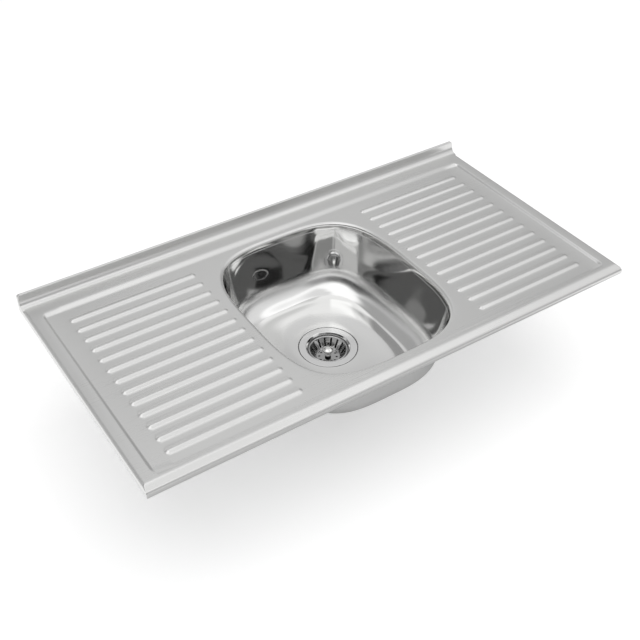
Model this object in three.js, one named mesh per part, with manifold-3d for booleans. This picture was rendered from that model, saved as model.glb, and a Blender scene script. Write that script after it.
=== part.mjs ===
// Lay-on kitchen sink with two drainboards, one bowl and a basket strainer waste.
// Millimetres. X runs left to right, Y from the front edge to the back edge, Z up.
// The origin is the centre of the plane in which the folded edges stand on the cabinet.

import * as THREE from 'three';
import { mergeVertices } from 'three/addons/utils/BufferGeometryUtils.js';
import Module from 'manifold-3d';

const wasm = await Module();
wasm.setup();

// ---------------------------------------------------------------------------
// Driving dimensions
// ---------------------------------------------------------------------------

// Clearances
const seatGap = 0.3;            // between pieces that rest on or are spot-welded to each other
const weldGap = 0.05;           // at the butt weld between the collar and the bowl
const overshoot = 2;            // how far a cutting shape runs past the face it cuts

// Top sheet
const topLength = 1000;
const topDepth = 515;
const sheet = 0.8;
const foldHeight = 15;          // from the seating plane up to the rim
const hemWidth = 14;            // flange turned inwards, which stands on the cabinet
const hemCorner = 6;
const endRoll = 6;              // radius of the left and right edges
const noseDepth = 15;           // width of the slope along the front edge
const noseDrop = 5.5;           // fall of that slope
const noseRadius = 20;          // between the rim and the slope
const frontRoll = 8;            // radius of the front edge below the slope

// Upstand along the back edge
const upstandHeight = 24;
const upstandThickness = 6;
const upstandLean = 2.5;        // how far its front face leans back
const upstandRoll = 2.8;
const upstandEndRoll = 7;
const coveRadius = 14;          // between the upstand and the rim

// Lowered drainer field
const sideRim = 23;
const frontRim = 21;
const backRim = 22;             // flat strip between the cove and the field
const fieldDrop = 3;
const fieldRun = 7;             // width of the sloping step down into the field
const fieldCorner = 18;
const leastCorner = 3;          // plan radius that every level of the step keeps

// Drainboard ribs, raised beads pressed from below
const ribPitch = 30.5;
const ribWidth = 12;
const ribHeight = 2.4;
const ribCrest = 0.2;           // share of the rib's width that is flat on top
const ribToBowl = 12;           // from the bowl's lip to the ribs' inner ends
const ribToField = 29;          // from the ribs' outer ends to the foot of the step
const ribFrontGap = 37.5;       // from the field's front edge to the first rib
const ribBackGap = 40;          // least distance from the last rib to the field's back edge

// Bowl
const bowlLength = 342;         // inside, along X, midway up its sides in plan
const bowlBreadth = 400;        // inside, along Y
const bowlSetback = 42;         // from the front edge to the bowl's front wall
const bowlPower = 3.4;          // of the superellipse in plan; a higher power squares it
const lipRoll = 7;              // radius where the field turns down into the bowl
const collarDrop = 7;           // straight part of the collar below the roll
const bowlDepth = 146;          // from the rim to the outer edge of the floor
const wallAngle = 8;            // lean of the walls, in degrees from upright
const floorRadius = 50;         // fillet between wall and floor
const floorFall = 5;            // fall of the floor towards the waste
const drainOffset = 15;         // from the bowl's middle back to the waste

// Drain seat, a round sinking in the floor
const seatRadius = 60;
const seatRimMargin = 2;        // flat ring of floor round the seat
const seatDrop = 4;

// Stiffeners under the drainboards
const channelSteel = 1;
const channelCrown = 24;        // width of the hat's crown
const channelFlange = 10;
const channelLift = 1.6;        // from the seating plane to the crown
const channelEndGap = 4;
const channelPlaces = [0.25, 0.75]; // along the ribs, from their inner ends

// Corner gussets
const gussetSteel = 1;
const gussetLeg = 64;
const gussetTip = 5;
const gussetInset = 1.2;        // from the fold's inside face
const gussetHole = 2.5;         // radius of the screw hole
const gussetHoleInset = 25;

// Sound-deadening pads
const padThickness = 2.5;
const wallPadHeight = 60;
const wallPadLength = 170;
const padBelowCollar = 10;
const floorPadWidth = 42;
const floorPadLength = 190;
const padToSeat = 9;

// Strainer body
const flangeRadius = 57;
const flangeSteel = 1.2;
const bevelRadius = 43.5;       // outer edge of the bevel into the cup
const bevelDrop = 3.5;
const cupRadius = 40;           // above the ledge that carries the basket
const ledgeDrop = 6;            // from the flange down to the ledge
const ledgeWidth = 2.5;
const threadRadius = 41.4;      // outside of the threaded zone
const threadDrop = 24;          // from the flange down to the end of the thread
const cupWall = 1.4;
const cupDepth = 41;            // from the flange down to the stopper's seat
const cupCone = 9;              // height of the cone above the seat
const mouthRadius = 19;         // bore of the neck
const stopperLand = 9;          // width of the flat seat round the mouth
const neckRadius = 23.8;
const neckLength = 24;

// Rings and locknut under the bowl
const sealThickness = 1.6;
const sealRadius = 56;
const drainHoleRadius = 45;
const threadClearance = 1;      // between the thread and the rings round it
const gasketThickness = 3;
const gasketRadius = 56;
const fibreThickness = 1;
const locknutRadius = 51;
const locknutHeight = 10;
const locknutLugs = 8;
const lugReach = 5;
const lugWidth = 9;

// Basket
const basketSteel = 0.8;
const basketRimWidth = 3.2;
const basketDepth = 20;
const basketFloorRadius = 24;
const basketClearance = 0.7;    // between the basket's rim and the cup
const basketSlots = 16;
const slotWidth = 2.4;
const slotMargin = 4;           // of bare wall above and below each slot
const floorHoles = 10;
const floorHoleRadius = 1.8;
const floorHoleCircle = 17;

// Stopper that the knob lifts and pushes down
const stemRadius = 3;
const stemClearance = 0.3;
const stemTail = 13;            // of stem below the stopper's seal
const stopperRadius = 25;
const stopperThickness = 3.5;
const plateRadius = 21;
const plateThickness = 1;
const knobRadius = 10.5;
const knobWaist = 5;
const knobHeight = 17;
const knobHead = 7;             // height of the knob's head
const knobBelowFlange = 3.5;    // from the flange down to the top of the knob
const nutRadius = 5.5;
const nutHeight = 4.5;
const gripRadius = 1.3;         // section of the rubber ring round the stem

// Cross-bar guide in the neck
const spiderArms = 4;
const spiderArmWidth = 3;
const spiderThickness = 3;
const spiderDrop = 7;           // from the stopper's seat down to the guide
const hubWall = 3;
const hubClearance = 1;

// Tailpiece and slip nut
const tailRadius = 19;
const tailWall = 1.2;
const tailLength = 60;
const tailFlangeRadius = 22.8;
const tailFlangeThickness = 1.5;
const washerThickness = 2;
const slipNutRadius = 30;
const slipNutHeight = 20;
const slipNutLip = 3;
const slipNutSides = 8;

// Steps of the curves
const bowlSteps = 8;            // on each quarter of the bowl's plan
const fieldCornerSteps = 4;
const ribEndSteps = 3;
const ribCrownSteps = 2;
const rollSteps = 4;
const floorSteps = 5;
const roundSteps = 32;
const smallSteps = 16;
const holeSteps = 6;

// ---------------------------------------------------------------------------
// Levels and places that follow from them
// ---------------------------------------------------------------------------

const rimLevel = foldHeight;
const fieldLevel = rimLevel - fieldDrop;
const weldLevel = fieldLevel - lipRoll - collarDrop;
const floorLevel = rimLevel - bowlDepth;
const drainLevel = floorLevel - floorFall;
const seatLevel = drainLevel - seatDrop;

const frontEdge = -topDepth / 2;
const backEdge = topDepth / 2;
const bowlMiddle = frontEdge + bowlSetback + bowlBreadth / 2;
const drainMiddle = bowlMiddle + drainOffset;

const upstandFoot = backEdge - upstandThickness - upstandLean;
const coveTurn = Math.atan2(upstandHeight, upstandLean);
const coveStart = upstandFoot - coveRadius * Math.tan(coveTurn / 2);

const fieldHalfLength = topLength / 2 - sideRim;
const fieldFront = frontEdge + frontRim;
const fieldBack = coveStart - backRim;

const ribInnerEnd = bowlLength / 2 + lipRoll + ribToBowl;
const ribOuterEnd = fieldHalfLength - fieldRun - ribToField;

// ---------------------------------------------------------------------------
// Outlines: lists of corners [x, y, radius], counter-clockwise
// ---------------------------------------------------------------------------

function rectangle(x0, y0, x1, y1, radius = 0) {
  return [[x0, y0, radius], [x1, y0, radius], [x1, y1, radius], [x0, y1, radius]];
}

// Moves every side inwards by a distance and keeps the corner arcs concentric.
function insetOutline(corners, distance) {
  const count = corners.length;
  return corners.map(([x, y, radius], i) => {
    const before = corners[(i + count - 1) % count];
    const after = corners[(i + 1) % count];
    const arriving = new THREE.Vector2(x - before[0], y - before[1]).normalize();
    const leaving = new THREE.Vector2(after[0] - x, after[1] - y).normalize();
    const shift = distance / (1 + arriving.dot(leaving));
    const turnsLeft = arriving.cross(leaving) > 0;
    const newRadius = radius === 0 ? 0 : Math.max(radius + (turnsLeft ? -distance : distance), 0);
    return [
      x - (arriving.y + leaving.y) * shift,
      y + (arriving.x + leaving.x) * shift,
      newRadius,
    ];
  });
}

// Turns corners into points, with an arc of the given steps at each rounded corner.
function outlinePoints(corners, steps = rollSteps) {
  const count = corners.length;
  const points = [];
  corners.forEach(([x, y, radius], i) => {
    const corner = new THREE.Vector2(x, y);
    if (radius === 0) {
      points.push(corner);
      return;
    }
    const before = corners[(i + count - 1) % count];
    const after = corners[(i + 1) % count];
    const towardsBefore = new THREE.Vector2(before[0] - x, before[1] - y).normalize();
    const towardsAfter = new THREE.Vector2(after[0] - x, after[1] - y).normalize();
    const halfAngle = Math.acos(towardsBefore.dot(towardsAfter)) / 2;
    const middle = towardsBefore.clone().add(towardsAfter).normalize();
    const centre = corner.clone().addScaledVector(middle, radius / Math.sin(halfAngle));
    const start = corner.clone().addScaledVector(towardsBefore, radius / Math.tan(halfAngle));
    const end = corner.clone().addScaledVector(towardsAfter, radius / Math.tan(halfAngle));
    const startAngle = start.clone().sub(centre).angle();
    const turn = Math.PI - 2 * halfAngle;
    const direction = Math.sign(start.clone().sub(centre).cross(end.clone().sub(centre)));
    for (let k = 0; k <= steps; k++) {
      const angle = startAngle + direction * turn * k / steps;
      points.push(new THREE.Vector2(
        centre.x + radius * Math.cos(angle),
        centre.y + radius * Math.sin(angle),
      ));
    }
  });
  return points;
}

// ---------------------------------------------------------------------------
// Solids
// ---------------------------------------------------------------------------

// Makes a solid of a closed geometry: shared points are merged and empty faces dropped.
function solidOf(geometry) {
  geometry.deleteAttribute('normal');
  geometry.deleteAttribute('uv');
  const merged = mergeVertices(geometry, 1e-4);
  const index = merged.index.array;
  const triangles = [];
  for (let i = 0; i < index.length; i += 3) {
    const [a, b, c] = [index[i], index[i + 1], index[i + 2]];
    if (a !== b && b !== c && c !== a) triangles.push(a, b, c);
  }
  return new wasm.Manifold(new wasm.Mesh({
    numProp: 3,
    vertProperties: merged.attributes.position.array,
    triVerts: new Uint32Array(triangles),
  }));
}

function geometryOf(solid) {
  const { vertProperties, triVerts } = solid.getMesh();
  const geometry = new THREE.BufferGeometry();
  geometry.setAttribute('position', new THREE.BufferAttribute(vertProperties, 3));
  geometry.setIndex(new THREE.BufferAttribute(triVerts, 1));
  return geometry;
}

// Extrudes an outline and lays its plane and its direction along the given axes.
function extrude(corners, length, xAxis, yAxis, start, holes = []) {
  const shape = new THREE.Shape(outlinePoints(corners));
  shape.holes.push(...holes);
  const geometry = new THREE.ExtrudeGeometry(shape, {
    depth: length, bevelEnabled: false, curveSegments: smallSteps,
  });
  const direction = xAxis.clone().cross(yAxis);
  geometry.applyMatrix4(new THREE.Matrix4().makeBasis(xAxis, yAxis, direction));
  geometry.translate(start.x, start.y, start.z);
  return solidOf(geometry);
}

const alongX = new THREE.Vector3(1, 0, 0);
const alongY = new THREE.Vector3(0, 1, 0);
const alongZ = new THREE.Vector3(0, 0, 1);

// A section in the YZ plane, carried from x0 to x1.
function extrudeX(corners, x0, x1) {
  return extrude(corners, x1 - x0, alongY, alongZ, new THREE.Vector3(x0, 0, 0));
}

// A section in the XZ plane, carried from y0 to y1.
function extrudeY(corners, y0, y1) {
  return extrude(corners, y1 - y0, alongX, alongZ, new THREE.Vector3(0, y1, 0));
}

// A plan in the XY plane, carried from z0 to z1.
function extrudeZ(corners, z0, z1, holes) {
  return extrude(corners, z1 - z0, alongX, alongY, new THREE.Vector3(0, 0, z0), holes);
}

function roundHole(x, y, radius) {
  const hole = new THREE.Path();
  hole.absarc(x, y, radius, 0, 2 * Math.PI, true);
  return hole;
}

// Turns a profile of [radius, height] points round the Z axis.
function revolve(profile, steps = roundSteps) {
  const points = profile.map(([radius, height]) => new THREE.Vector2(radius, height));
  if (profile[0][0] > 0) points.push(points[0].clone());
  const geometry = new THREE.LatheGeometry(points, steps);
  geometry.rotateX(Math.PI / 2);
  return solidOf(geometry);
}

// A flat ring between two radii and two heights.
function ring(innerRadius, outerRadius, bottom, top, steps) {
  return revolve([
    [innerRadius, bottom], [outerRadius, bottom], [outerRadius, top], [innerRadius, top],
  ], steps);
}

// Rings for lofts: closed outlines of [x, y, z] points at one height, counter-clockwise.

// A rounded rectangle, with an arc of the given steps at each corner.
function roundedRing({ x = 0, y = 0, halfX, halfY, radius, z }, cornerSteps) {
  const points = [];
  for (let corner = 0; corner < 4; corner++) {
    const signX = corner === 0 || corner === 3 ? 1 : -1;
    const signY = corner < 2 ? 1 : -1;
    for (let k = 0; k <= cornerSteps; k++) {
      const angle = (corner + k / cornerSteps) * Math.PI / 2;
      points.push([
        x + signX * (halfX - radius) + radius * Math.cos(angle),
        y + signY * (halfY - radius) + radius * Math.sin(angle),
        z,
      ]);
    }
  }
  return points;
}

// A superellipse: |x / halfX| ^ power + |y / halfY| ^ power = 1. A power of 2 is an ellipse.
function superellipseRing({ x = 0, y = 0, halfX, halfY, power, z }, quarterSteps) {
  const bend = (t) => Math.sign(t) * Math.abs(t) ** (2 / power);
  const points = [];
  for (let k = 0; k < 4 * quarterSteps; k++) {
    const angle = (k / quarterSteps) * Math.PI / 2;
    points.push([x + halfX * bend(Math.cos(angle)), y + halfY * bend(Math.sin(angle)), z]);
  }
  return points;
}

// Joins rings of equally many points, listed from the top down, into one closed solid.
function loft(rings) {
  const count = rings[0].length;
  const index = [];
  for (let level = 0; level + 1 < rings.length; level++) {
    for (let i = 0; i < count; i++) {
      const next = (i + 1) % count;
      const upper = level * count;
      const lower = upper + count;
      index.push(lower + i, lower + next, upper + next, lower + i, upper + next, upper + i);
    }
  }
  const bottom = (rings.length - 1) * count;
  for (let i = 1; i + 1 < count; i++) {
    index.push(0, i, i + 1, bottom, bottom + i + 1, bottom + i);
  }
  const geometry = new THREE.BufferGeometry();
  geometry.setAttribute('position', new THREE.Float32BufferAttribute(rings.flat(2), 3));
  geometry.setIndex(index);
  return solidOf(geometry);
}

// ---------------------------------------------------------------------------
// Top sheet
// ---------------------------------------------------------------------------

// Section from front to back: rolled and sloping front edge, flat rim, cove, rolled upstand.
const crossSection = [
  [frontEdge, 0, 0],
  [backEdge, 0, 0],
  [backEdge, rimLevel + upstandHeight, upstandRoll],
  [backEdge - upstandThickness, rimLevel + upstandHeight, upstandRoll],
  [upstandFoot, rimLevel, coveRadius],
  [frontEdge + noseDepth, rimLevel, noseRadius],
  [frontEdge, rimLevel - noseDrop, frontRoll],
];

// Section from left to right, up to a given height.
function endSection(height, radius) {
  return [
    [-topLength / 2, 0, 0],
    [topLength / 2, 0, 0],
    [topLength / 2, height, radius],
    [-topLength / 2, height, radius],
  ];
}

// The block that the sheet wraps, inset from the sheet's outer face. The rolled ends of the rim
// and the taller ends of the upstand each come from one pair of crossed sections. The taller
// ends begin a little in front of the cove, so that sheet and block both rise inside them.
function wrappedBlock(inset) {
  const lengthwise = extrudeX(
    insetOutline(crossSection, inset), -topLength / 2 - overshoot, topLength / 2 + overshoot,
  );
  const rimEnds = extrudeY(
    insetOutline(endSection(rimLevel, endRoll), inset),
    frontEdge - overshoot, backEdge + overshoot,
  );
  const upstandEnds = extrudeY(
    insetOutline(endSection(rimLevel + upstandHeight, upstandEndRoll), inset),
    coveStart - 2 * sheet + inset, backEdge + overshoot,
  );
  return lengthwise.intersect(rimEnds.add(upstandEnds));
}

// The drainer field as a sunk rounded rectangle with an S-shaped step, moved down by an offset.
function fieldSinking(offset) {
  const y = (fieldFront + fieldBack) / 2;
  const levels = [];
  const addLevel = (inset, z) => levels.push({
    y,
    halfX: fieldHalfLength - inset,
    halfY: (fieldBack - fieldFront) / 2 - inset,
    radius: Math.max(fieldCorner - inset, leastCorner),
    z: z - offset,
  });
  addLevel(0, rimLevel + overshoot + offset);
  for (let k = 0; k <= rollSteps; k++) {
    const s = k / rollSteps;
    addLevel(fieldRun * s, rimLevel - fieldDrop * s * s * (3 - 2 * s));
  }
  return loft(levels.map((level) => roundedRing(level, fieldCornerSteps)));
}

// One rib: a bead with round ends and a parabolic crown. The inset shrinks it by the sheet.
function rib(x0, x1, y, inset) {
  const halfWidth = ribWidth / 2 - inset;
  const halfLength = (x1 - x0) / 2 - inset;
  const foot = fieldLevel - inset;
  const levels = [];
  for (let k = 0; k <= ribCrownSteps; k++) {
    const spread = THREE.MathUtils.lerp(ribCrest, 1, k / ribCrownSteps);
    levels.push({
      x: (x0 + x1) / 2,
      y,
      halfX: halfLength - halfWidth * (1 - spread),
      halfY: halfWidth * spread,
      radius: halfWidth * spread,
      z: foot + ribHeight * (1 - spread * spread),
    });
  }
  levels.push({ ...levels.at(-1), z: foot - sheet });
  return loft(levels.map((level) => roundedRing(level, ribEndSteps)));
}

// All ribs of both drainboards. The first lies near the front, and as many follow as fit.
function allRibs(inset) {
  const first = fieldFront + ribFrontGap;
  const count = Math.floor((fieldBack - ribBackGap - first) / ribPitch) + 1;
  let ribs = null;
  for (let k = 0; k < count; k++) {
    const y = first + k * ribPitch;
    for (const side of [-1, 1]) {
      const ends = [side * ribInnerEnd, side * ribOuterEnd].sort((a, b) => a - b);
      const one = rib(ends[0], ends[1], y, inset);
      ribs = ribs ? ribs.add(one) : one;
    }
  }
  return ribs;
}

// The bowl's plan at one height, shrunk by an inset: bowed sides that run into full corners.
function bowlRing(inset, z) {
  return superellipseRing({
    y: bowlMiddle,
    halfX: bowlLength / 2 - inset,
    halfY: bowlBreadth / 2 - inset,
    power: bowlPower,
    z,
  }, bowlSteps);
}

// The collar's face, from the field round the lip and down to the weld, pushed out by an offset.
function lipRings(offset) {
  const rings = [];
  const radius = lipRoll - offset;
  for (let k = 0; k <= rollSteps; k++) {
    const angle = (k / rollSteps) * Math.PI / 2;
    rings.push(bowlRing(
      -lipRoll + radius * Math.sin(angle),
      fieldLevel - lipRoll + radius * Math.cos(angle),
    ));
  }
  return rings;
}

function makeDrainerTop() {
  const outside = wrappedBlock(0).subtract(fieldSinking(0)).add(allRibs(0));
  const inside = wrappedBlock(sheet).subtract(fieldSinking(sheet)).add(allRibs(sheet));
  const hemOpening = extrudeZ(
    rectangle(
      -topLength / 2 + hemWidth, frontEdge + hemWidth,
      topLength / 2 - hemWidth, backEdge - hemWidth, hemCorner,
    ),
    -overshoot, sheet + overshoot,
  );
  const collar = loft([
    bowlRing(-lipRoll, fieldLevel - sheet / 2),
    ...lipRings(sheet),
    bowlRing(-sheet, weldLevel),
  ]);
  const opening = loft([
    bowlRing(-lipRoll, fieldLevel + overshoot),
    ...lipRings(0),
    bowlRing(0, weldLevel - overshoot),
  ]);
  return outside.subtract(inside).subtract(hemOpening).add(collar).subtract(opening);
}

// ---------------------------------------------------------------------------
// Bowl and its pads
// ---------------------------------------------------------------------------

// The bowl's inner face from the weld to the drain seat, pushed out by an offset, as a solid:
// leaning walls, a fillet tangent to wall and floor, and a floor that falls to a round end.
function bowlForm(offset, top) {
  const lean = THREE.MathUtils.degToRad(wallAngle);
  const wallEnd = floorLevel + floorRadius * (1 - Math.sin(lean));
  const floorInset = (weldLevel - wallEnd) * Math.tan(lean) + floorRadius * Math.cos(lean);
  const rings = [bowlRing(-offset, top)];
  if (top > weldLevel) rings.push(bowlRing(-offset, weldLevel));
  for (let k = 0; k <= floorSteps; k++) {
    const angle = lean + (Math.PI / 2 - lean) * k / floorSteps;
    rings.push(bowlRing(
      floorInset - (floorRadius + offset) * Math.cos(angle),
      floorLevel + floorRadius - (floorRadius + offset) * Math.sin(angle),
    ));
  }
  rings.push(superellipseRing({
    y: drainMiddle,
    halfX: seatRadius + seatRimMargin,
    halfY: seatRadius + seatRimMargin,
    power: 2,
    z: drainLevel - offset,
  }, bowlSteps));
  return loft(rings);
}

function makeBowl() {
  const top = weldLevel - weldGap;
  const shell = bowlForm(sheet, top).subtract(bowlForm(0, top + overshoot));
  const seatOutside = ring(
    drainHoleRadius, seatRadius + sheet, seatLevel - sheet, drainLevel - sheet / 2,
  ).translate([0, drainMiddle, 0]);
  const seatInside = revolve([
    [0, seatLevel], [seatRadius, seatLevel], [seatRadius, drainLevel + overshoot],
    [0, drainLevel + overshoot],
  ]).translate([0, drainMiddle, 0]);
  const hole = revolve([
    [0, seatLevel - overshoot], [drainHoleRadius, seatLevel - overshoot],
    [drainHoleRadius, drainLevel + overshoot], [0, drainLevel + overshoot],
  ]).translate([0, drainMiddle, 0]);
  return shell.subtract(hole).add(seatOutside).subtract(seatInside).subtract(hole);
}

// A pad that follows the bowl's outside within a box.
function makePad(x0, x1, y0, y1, z0, z1) {
  const top = weldLevel - weldGap;
  const near = bowlForm(sheet + seatGap, top);
  const far = bowlForm(sheet + seatGap + padThickness, top);
  return far.subtract(near).intersect(extrudeZ(rectangle(x0, y0, x1, y1), z0, z1));
}

function makeWallPad(side) {
  const inner = side * bowlLength / 4;
  const outer = side * (bowlLength / 2 + lipRoll);
  const top = weldLevel - padBelowCollar;
  return makePad(
    Math.min(inner, outer), Math.max(inner, outer),
    bowlMiddle - wallPadLength / 2, bowlMiddle + wallPadLength / 2,
    top - wallPadHeight, top,
  );
}

function makeFloorPad(side) {
  const inner = side * (seatRadius + seatRimMargin + padToSeat);
  const outer = inner + side * floorPadWidth;
  return makePad(
    Math.min(inner, outer), Math.max(inner, outer),
    drainMiddle - floorPadLength / 2, drainMiddle + floorPadLength / 2,
    seatLevel - padThickness, floorLevel + floorRadius,
  );
}

// ---------------------------------------------------------------------------
// Stiffeners and gussets
// ---------------------------------------------------------------------------

// A hat-shaped channel from front to back, flanges up against the field.
function makeChannel(x) {
  const top = fieldLevel - sheet - seatGap;
  const flangeUnder = top - channelSteel;
  const crown = channelLift;
  const inner = channelCrown / 2 - channelSteel;
  const outer = channelCrown / 2;
  const reach = outer + channelFlange;
  const section = [
    [-outer, crown], [outer, crown], [outer, flangeUnder], [reach, flangeUnder],
    [reach, top], [inner, top], [inner, crown + channelSteel], [-inner, crown + channelSteel],
    [-inner, top], [-reach, top], [-reach, flangeUnder], [-outer, flangeUnder],
  ].map(([sx, sz]) => [x + sx, sz, 0]);
  return extrudeY(section, frontEdge + frontRoll, backEdge - sheet - channelEndGap);
}

// A triangular plate that lies on the hem in one corner, with a hole for a wood screw.
function makeGusset(signX, signY) {
  const x = signX * (topLength / 2 - sheet - gussetInset);
  const y = signY * (topDepth / 2 - sheet - gussetInset);
  const corners = [
    [x, y, 0], [x - signX * gussetLeg, y, gussetTip], [x, y - signY * gussetLeg, gussetTip],
  ];
  if (signX * signY < 0) corners.reverse();
  const hole = roundHole(x - signX * gussetHoleInset, y - signY * gussetHoleInset, gussetHole);
  const bottom = sheet + seatGap;
  return extrudeZ(corners, bottom, bottom + gussetSteel, [hole]);
}

// ---------------------------------------------------------------------------
// Waste, measured from the drain seat's upper face, on the axis of the drain
// ---------------------------------------------------------------------------

const flangeBottom = seatGap + sealThickness + seatGap;
const flangeTop = flangeBottom + flangeSteel;
const ledgeLevel = flangeTop - ledgeDrop;
const stopperSeat = flangeTop - cupDepth;
const neckBottom = stopperSeat - neckLength;
const innerCupRadius = cupRadius - ledgeWidth;
const landRadius = mouthRadius + stopperLand;

function makeStrainerBody() {
  return revolve([
    [mouthRadius, neckBottom],
    [neckRadius, neckBottom],
    [neckRadius, stopperSeat - cupWall],
    [landRadius + cupWall, stopperSeat - cupWall],
    [innerCupRadius + cupWall, stopperSeat + cupCone],
    [innerCupRadius + cupWall, flangeTop - threadDrop],
    [threadRadius, flangeTop - threadDrop],
    [threadRadius, flangeBottom - bevelDrop],
    [bevelRadius + flangeSteel, flangeBottom],
    [flangeRadius, flangeBottom],
    [flangeRadius, flangeTop],
    [bevelRadius, flangeTop],
    [cupRadius, flangeTop - bevelDrop],
    [cupRadius, ledgeLevel],
    [innerCupRadius, ledgeLevel],
    [innerCupRadius, stopperSeat + cupCone],
    [landRadius, stopperSeat],
    [mouthRadius, stopperSeat],
  ]);
}

const ringBore = threadRadius + threadClearance;
const gasketTop = -sheet - seatGap;
const fibreTop = gasketTop - gasketThickness - seatGap;
const locknutTop = fibreTop - fibreThickness - seatGap;

// A nut with square lugs round it, for a spanner or a gripping hand.
function makeLocknut() {
  const corners = [];
  const lugTurn = 2 * Math.PI / locknutLugs;
  const rootTurn = Math.asin(lugWidth / 2 / locknutRadius);
  const tipTurn = Math.asin(lugWidth / 2 / (locknutRadius + lugReach));
  for (let k = 0; k < locknutLugs; k++) {
    const stops = [
      [-rootTurn, locknutRadius], [-tipTurn, locknutRadius + lugReach],
      [tipTurn, locknutRadius + lugReach], [rootTurn, locknutRadius],
      [lugTurn / 2, locknutRadius],
    ];
    for (const [turn, radius] of stops) {
      const angle = k * lugTurn + turn;
      corners.push([radius * Math.cos(angle), radius * Math.sin(angle), 0]);
    }
  }
  const bore = ring(0, threadRadius + seatGap, locknutTop - locknutHeight - overshoot,
    locknutTop + overshoot);
  return extrudeZ(corners, locknutTop - locknutHeight, locknutTop).subtract(bore);
}

// ---------------------------------------------------------------------------
// Basket
// ---------------------------------------------------------------------------

const basketRimRadius = cupRadius - basketClearance;
const basketRimBottom = ledgeLevel + seatGap;
const basketFloor = basketRimBottom - basketDepth;
const basketThroat = basketRimRadius - basketRimWidth;

function makeBasket() {
  const stemHole = stemRadius + stemClearance;
  let basket = revolve([
    [stemHole, basketFloor],
    [basketFloorRadius, basketFloor],
    [basketThroat, basketRimBottom],
    [basketRimRadius, basketRimBottom],
    [basketRimRadius, basketRimBottom + basketSteel],
    [basketThroat - basketSteel, basketRimBottom + basketSteel],
    [basketFloorRadius - basketSteel / 2, basketFloor + basketSteel],
    [stemHole, basketFloor + basketSteel],
  ]);
  for (let k = 0; k < basketSlots; k++) {
    const slot = extrudeZ(
      rectangle(basketFloorRadius - slotMargin, -slotWidth / 2, basketRimRadius, slotWidth / 2),
      basketFloor + slotMargin, basketRimBottom - slotMargin,
    );
    basket = basket.subtract(slot.rotate([0, 0, (k + 0.5) * 360 / basketSlots]));
  }
  for (let k = 0; k < floorHoles; k++) {
    const angle = k * 2 * Math.PI / floorHoles;
    const hole = revolve([
      [0, basketFloor - overshoot], [floorHoleRadius, basketFloor - overshoot],
      [floorHoleRadius, basketFloor + overshoot], [0, basketFloor + overshoot],
    ], holeSteps);
    const place = [floorHoleCircle * Math.cos(angle), floorHoleCircle * Math.sin(angle), 0];
    basket = basket.subtract(hole.translate(place));
  }
  return basket;
}

// The rubber ring that grips the stem, lying on the basket's floor.
function makeStemRing() {
  const section = [];
  for (let k = 0; k < holeSteps; k++) {
    const angle = 2 * Math.PI * (k + 0.5) / holeSteps;
    section.push([
      stemRadius + stemClearance + gripRadius + gripRadius * Math.cos(angle),
      basketFloor + basketSteel + seatGap + gripRadius + gripRadius * Math.sin(angle),
    ]);
  }
  return revolve(section, smallSteps);
}

// ---------------------------------------------------------------------------
// Stopper and knob
// ---------------------------------------------------------------------------

const sealBottom = stopperSeat + seatGap;
const sealTop = sealBottom + stopperThickness;
const plateBottom = sealTop + seatGap;
const plateTop = plateBottom + plateThickness;
const knobTop = flangeTop - knobBelowFlange;
const knobBottom = knobTop - knobHeight;
const stemTop = knobTop - knobHead;
const stemBore = stemRadius + seatGap;

// A mushroom-shaped knob with a waist, hollow where the stem goes in.
function makeKnob() {
  const headFoot = knobTop - knobHead;
  return revolve([
    [stemBore, knobBottom],
    [knobWaist + 1.5, knobBottom],
    [knobWaist, knobBottom + 3],
    [knobWaist, headFoot - 2],
    [knobRadius - 1, headFoot],
    [knobRadius, headFoot + 1.5],
    [knobRadius, knobTop - 3],
    [knobRadius * 0.8, knobTop - 0.9],
    [knobRadius * 0.45, knobTop - 0.1],
    [0, knobTop],
    [0, stemTop + seatGap],
    [stemBore, stemTop + seatGap],
  ], smallSteps);
}

function makeStem() {
  return revolve([
    [0, sealBottom - stemTail],
    [stemRadius - 1, sealBottom - stemTail],
    [stemRadius, sealBottom - stemTail + 1],
    [stemRadius, stemTop],
    [0, stemTop],
  ], smallSteps);
}

function makeStemNut() {
  const corners = [];
  for (let k = 0; k < 6; k++) {
    const angle = k * Math.PI / 3;
    corners.push([nutRadius * Math.cos(angle), nutRadius * Math.sin(angle), 0]);
  }
  const top = sealBottom - seatGap;
  return extrudeZ(corners, top - nutHeight, top, [roundHole(0, 0, stemBore)]);
}

// The guide in the neck: a hub round the stem's tail, on arms that reach the neck's bore.
function makeSpider() {
  const top = stopperSeat - spiderDrop;
  const bottom = top - spiderThickness;
  const hubBore = stemRadius + hubClearance;
  let spider = ring(hubBore, hubBore + hubWall, bottom, top, smallSteps);
  for (let k = 0; k < spiderArms; k++) {
    const arm = extrudeZ(
      rectangle(
        hubBore + hubWall / 2, -spiderArmWidth / 2,
        mouthRadius * Math.cos(Math.PI / roundSteps) - seatGap, spiderArmWidth / 2,
      ),
      bottom, top,
    );
    spider = spider.add(arm.rotate([0, 0, k * 360 / spiderArms]));
  }
  return spider;
}

// ---------------------------------------------------------------------------
// Tailpiece and slip nut
// ---------------------------------------------------------------------------

const washerTop = neckBottom - seatGap;
const tailTop = washerTop - washerThickness - seatGap;
const tailFlangeBottom = tailTop - tailFlangeThickness;
const slipNutBottom = tailFlangeBottom - seatGap - slipNutLip;

function makeTailpiece() {
  return revolve([
    [tailRadius - tailWall, tailTop - tailLength],
    [tailRadius, tailTop - tailLength],
    [tailRadius, tailFlangeBottom],
    [tailFlangeRadius, tailFlangeBottom],
    [tailFlangeRadius, tailTop],
    [tailRadius - tailWall, tailTop],
  ]);
}

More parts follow.
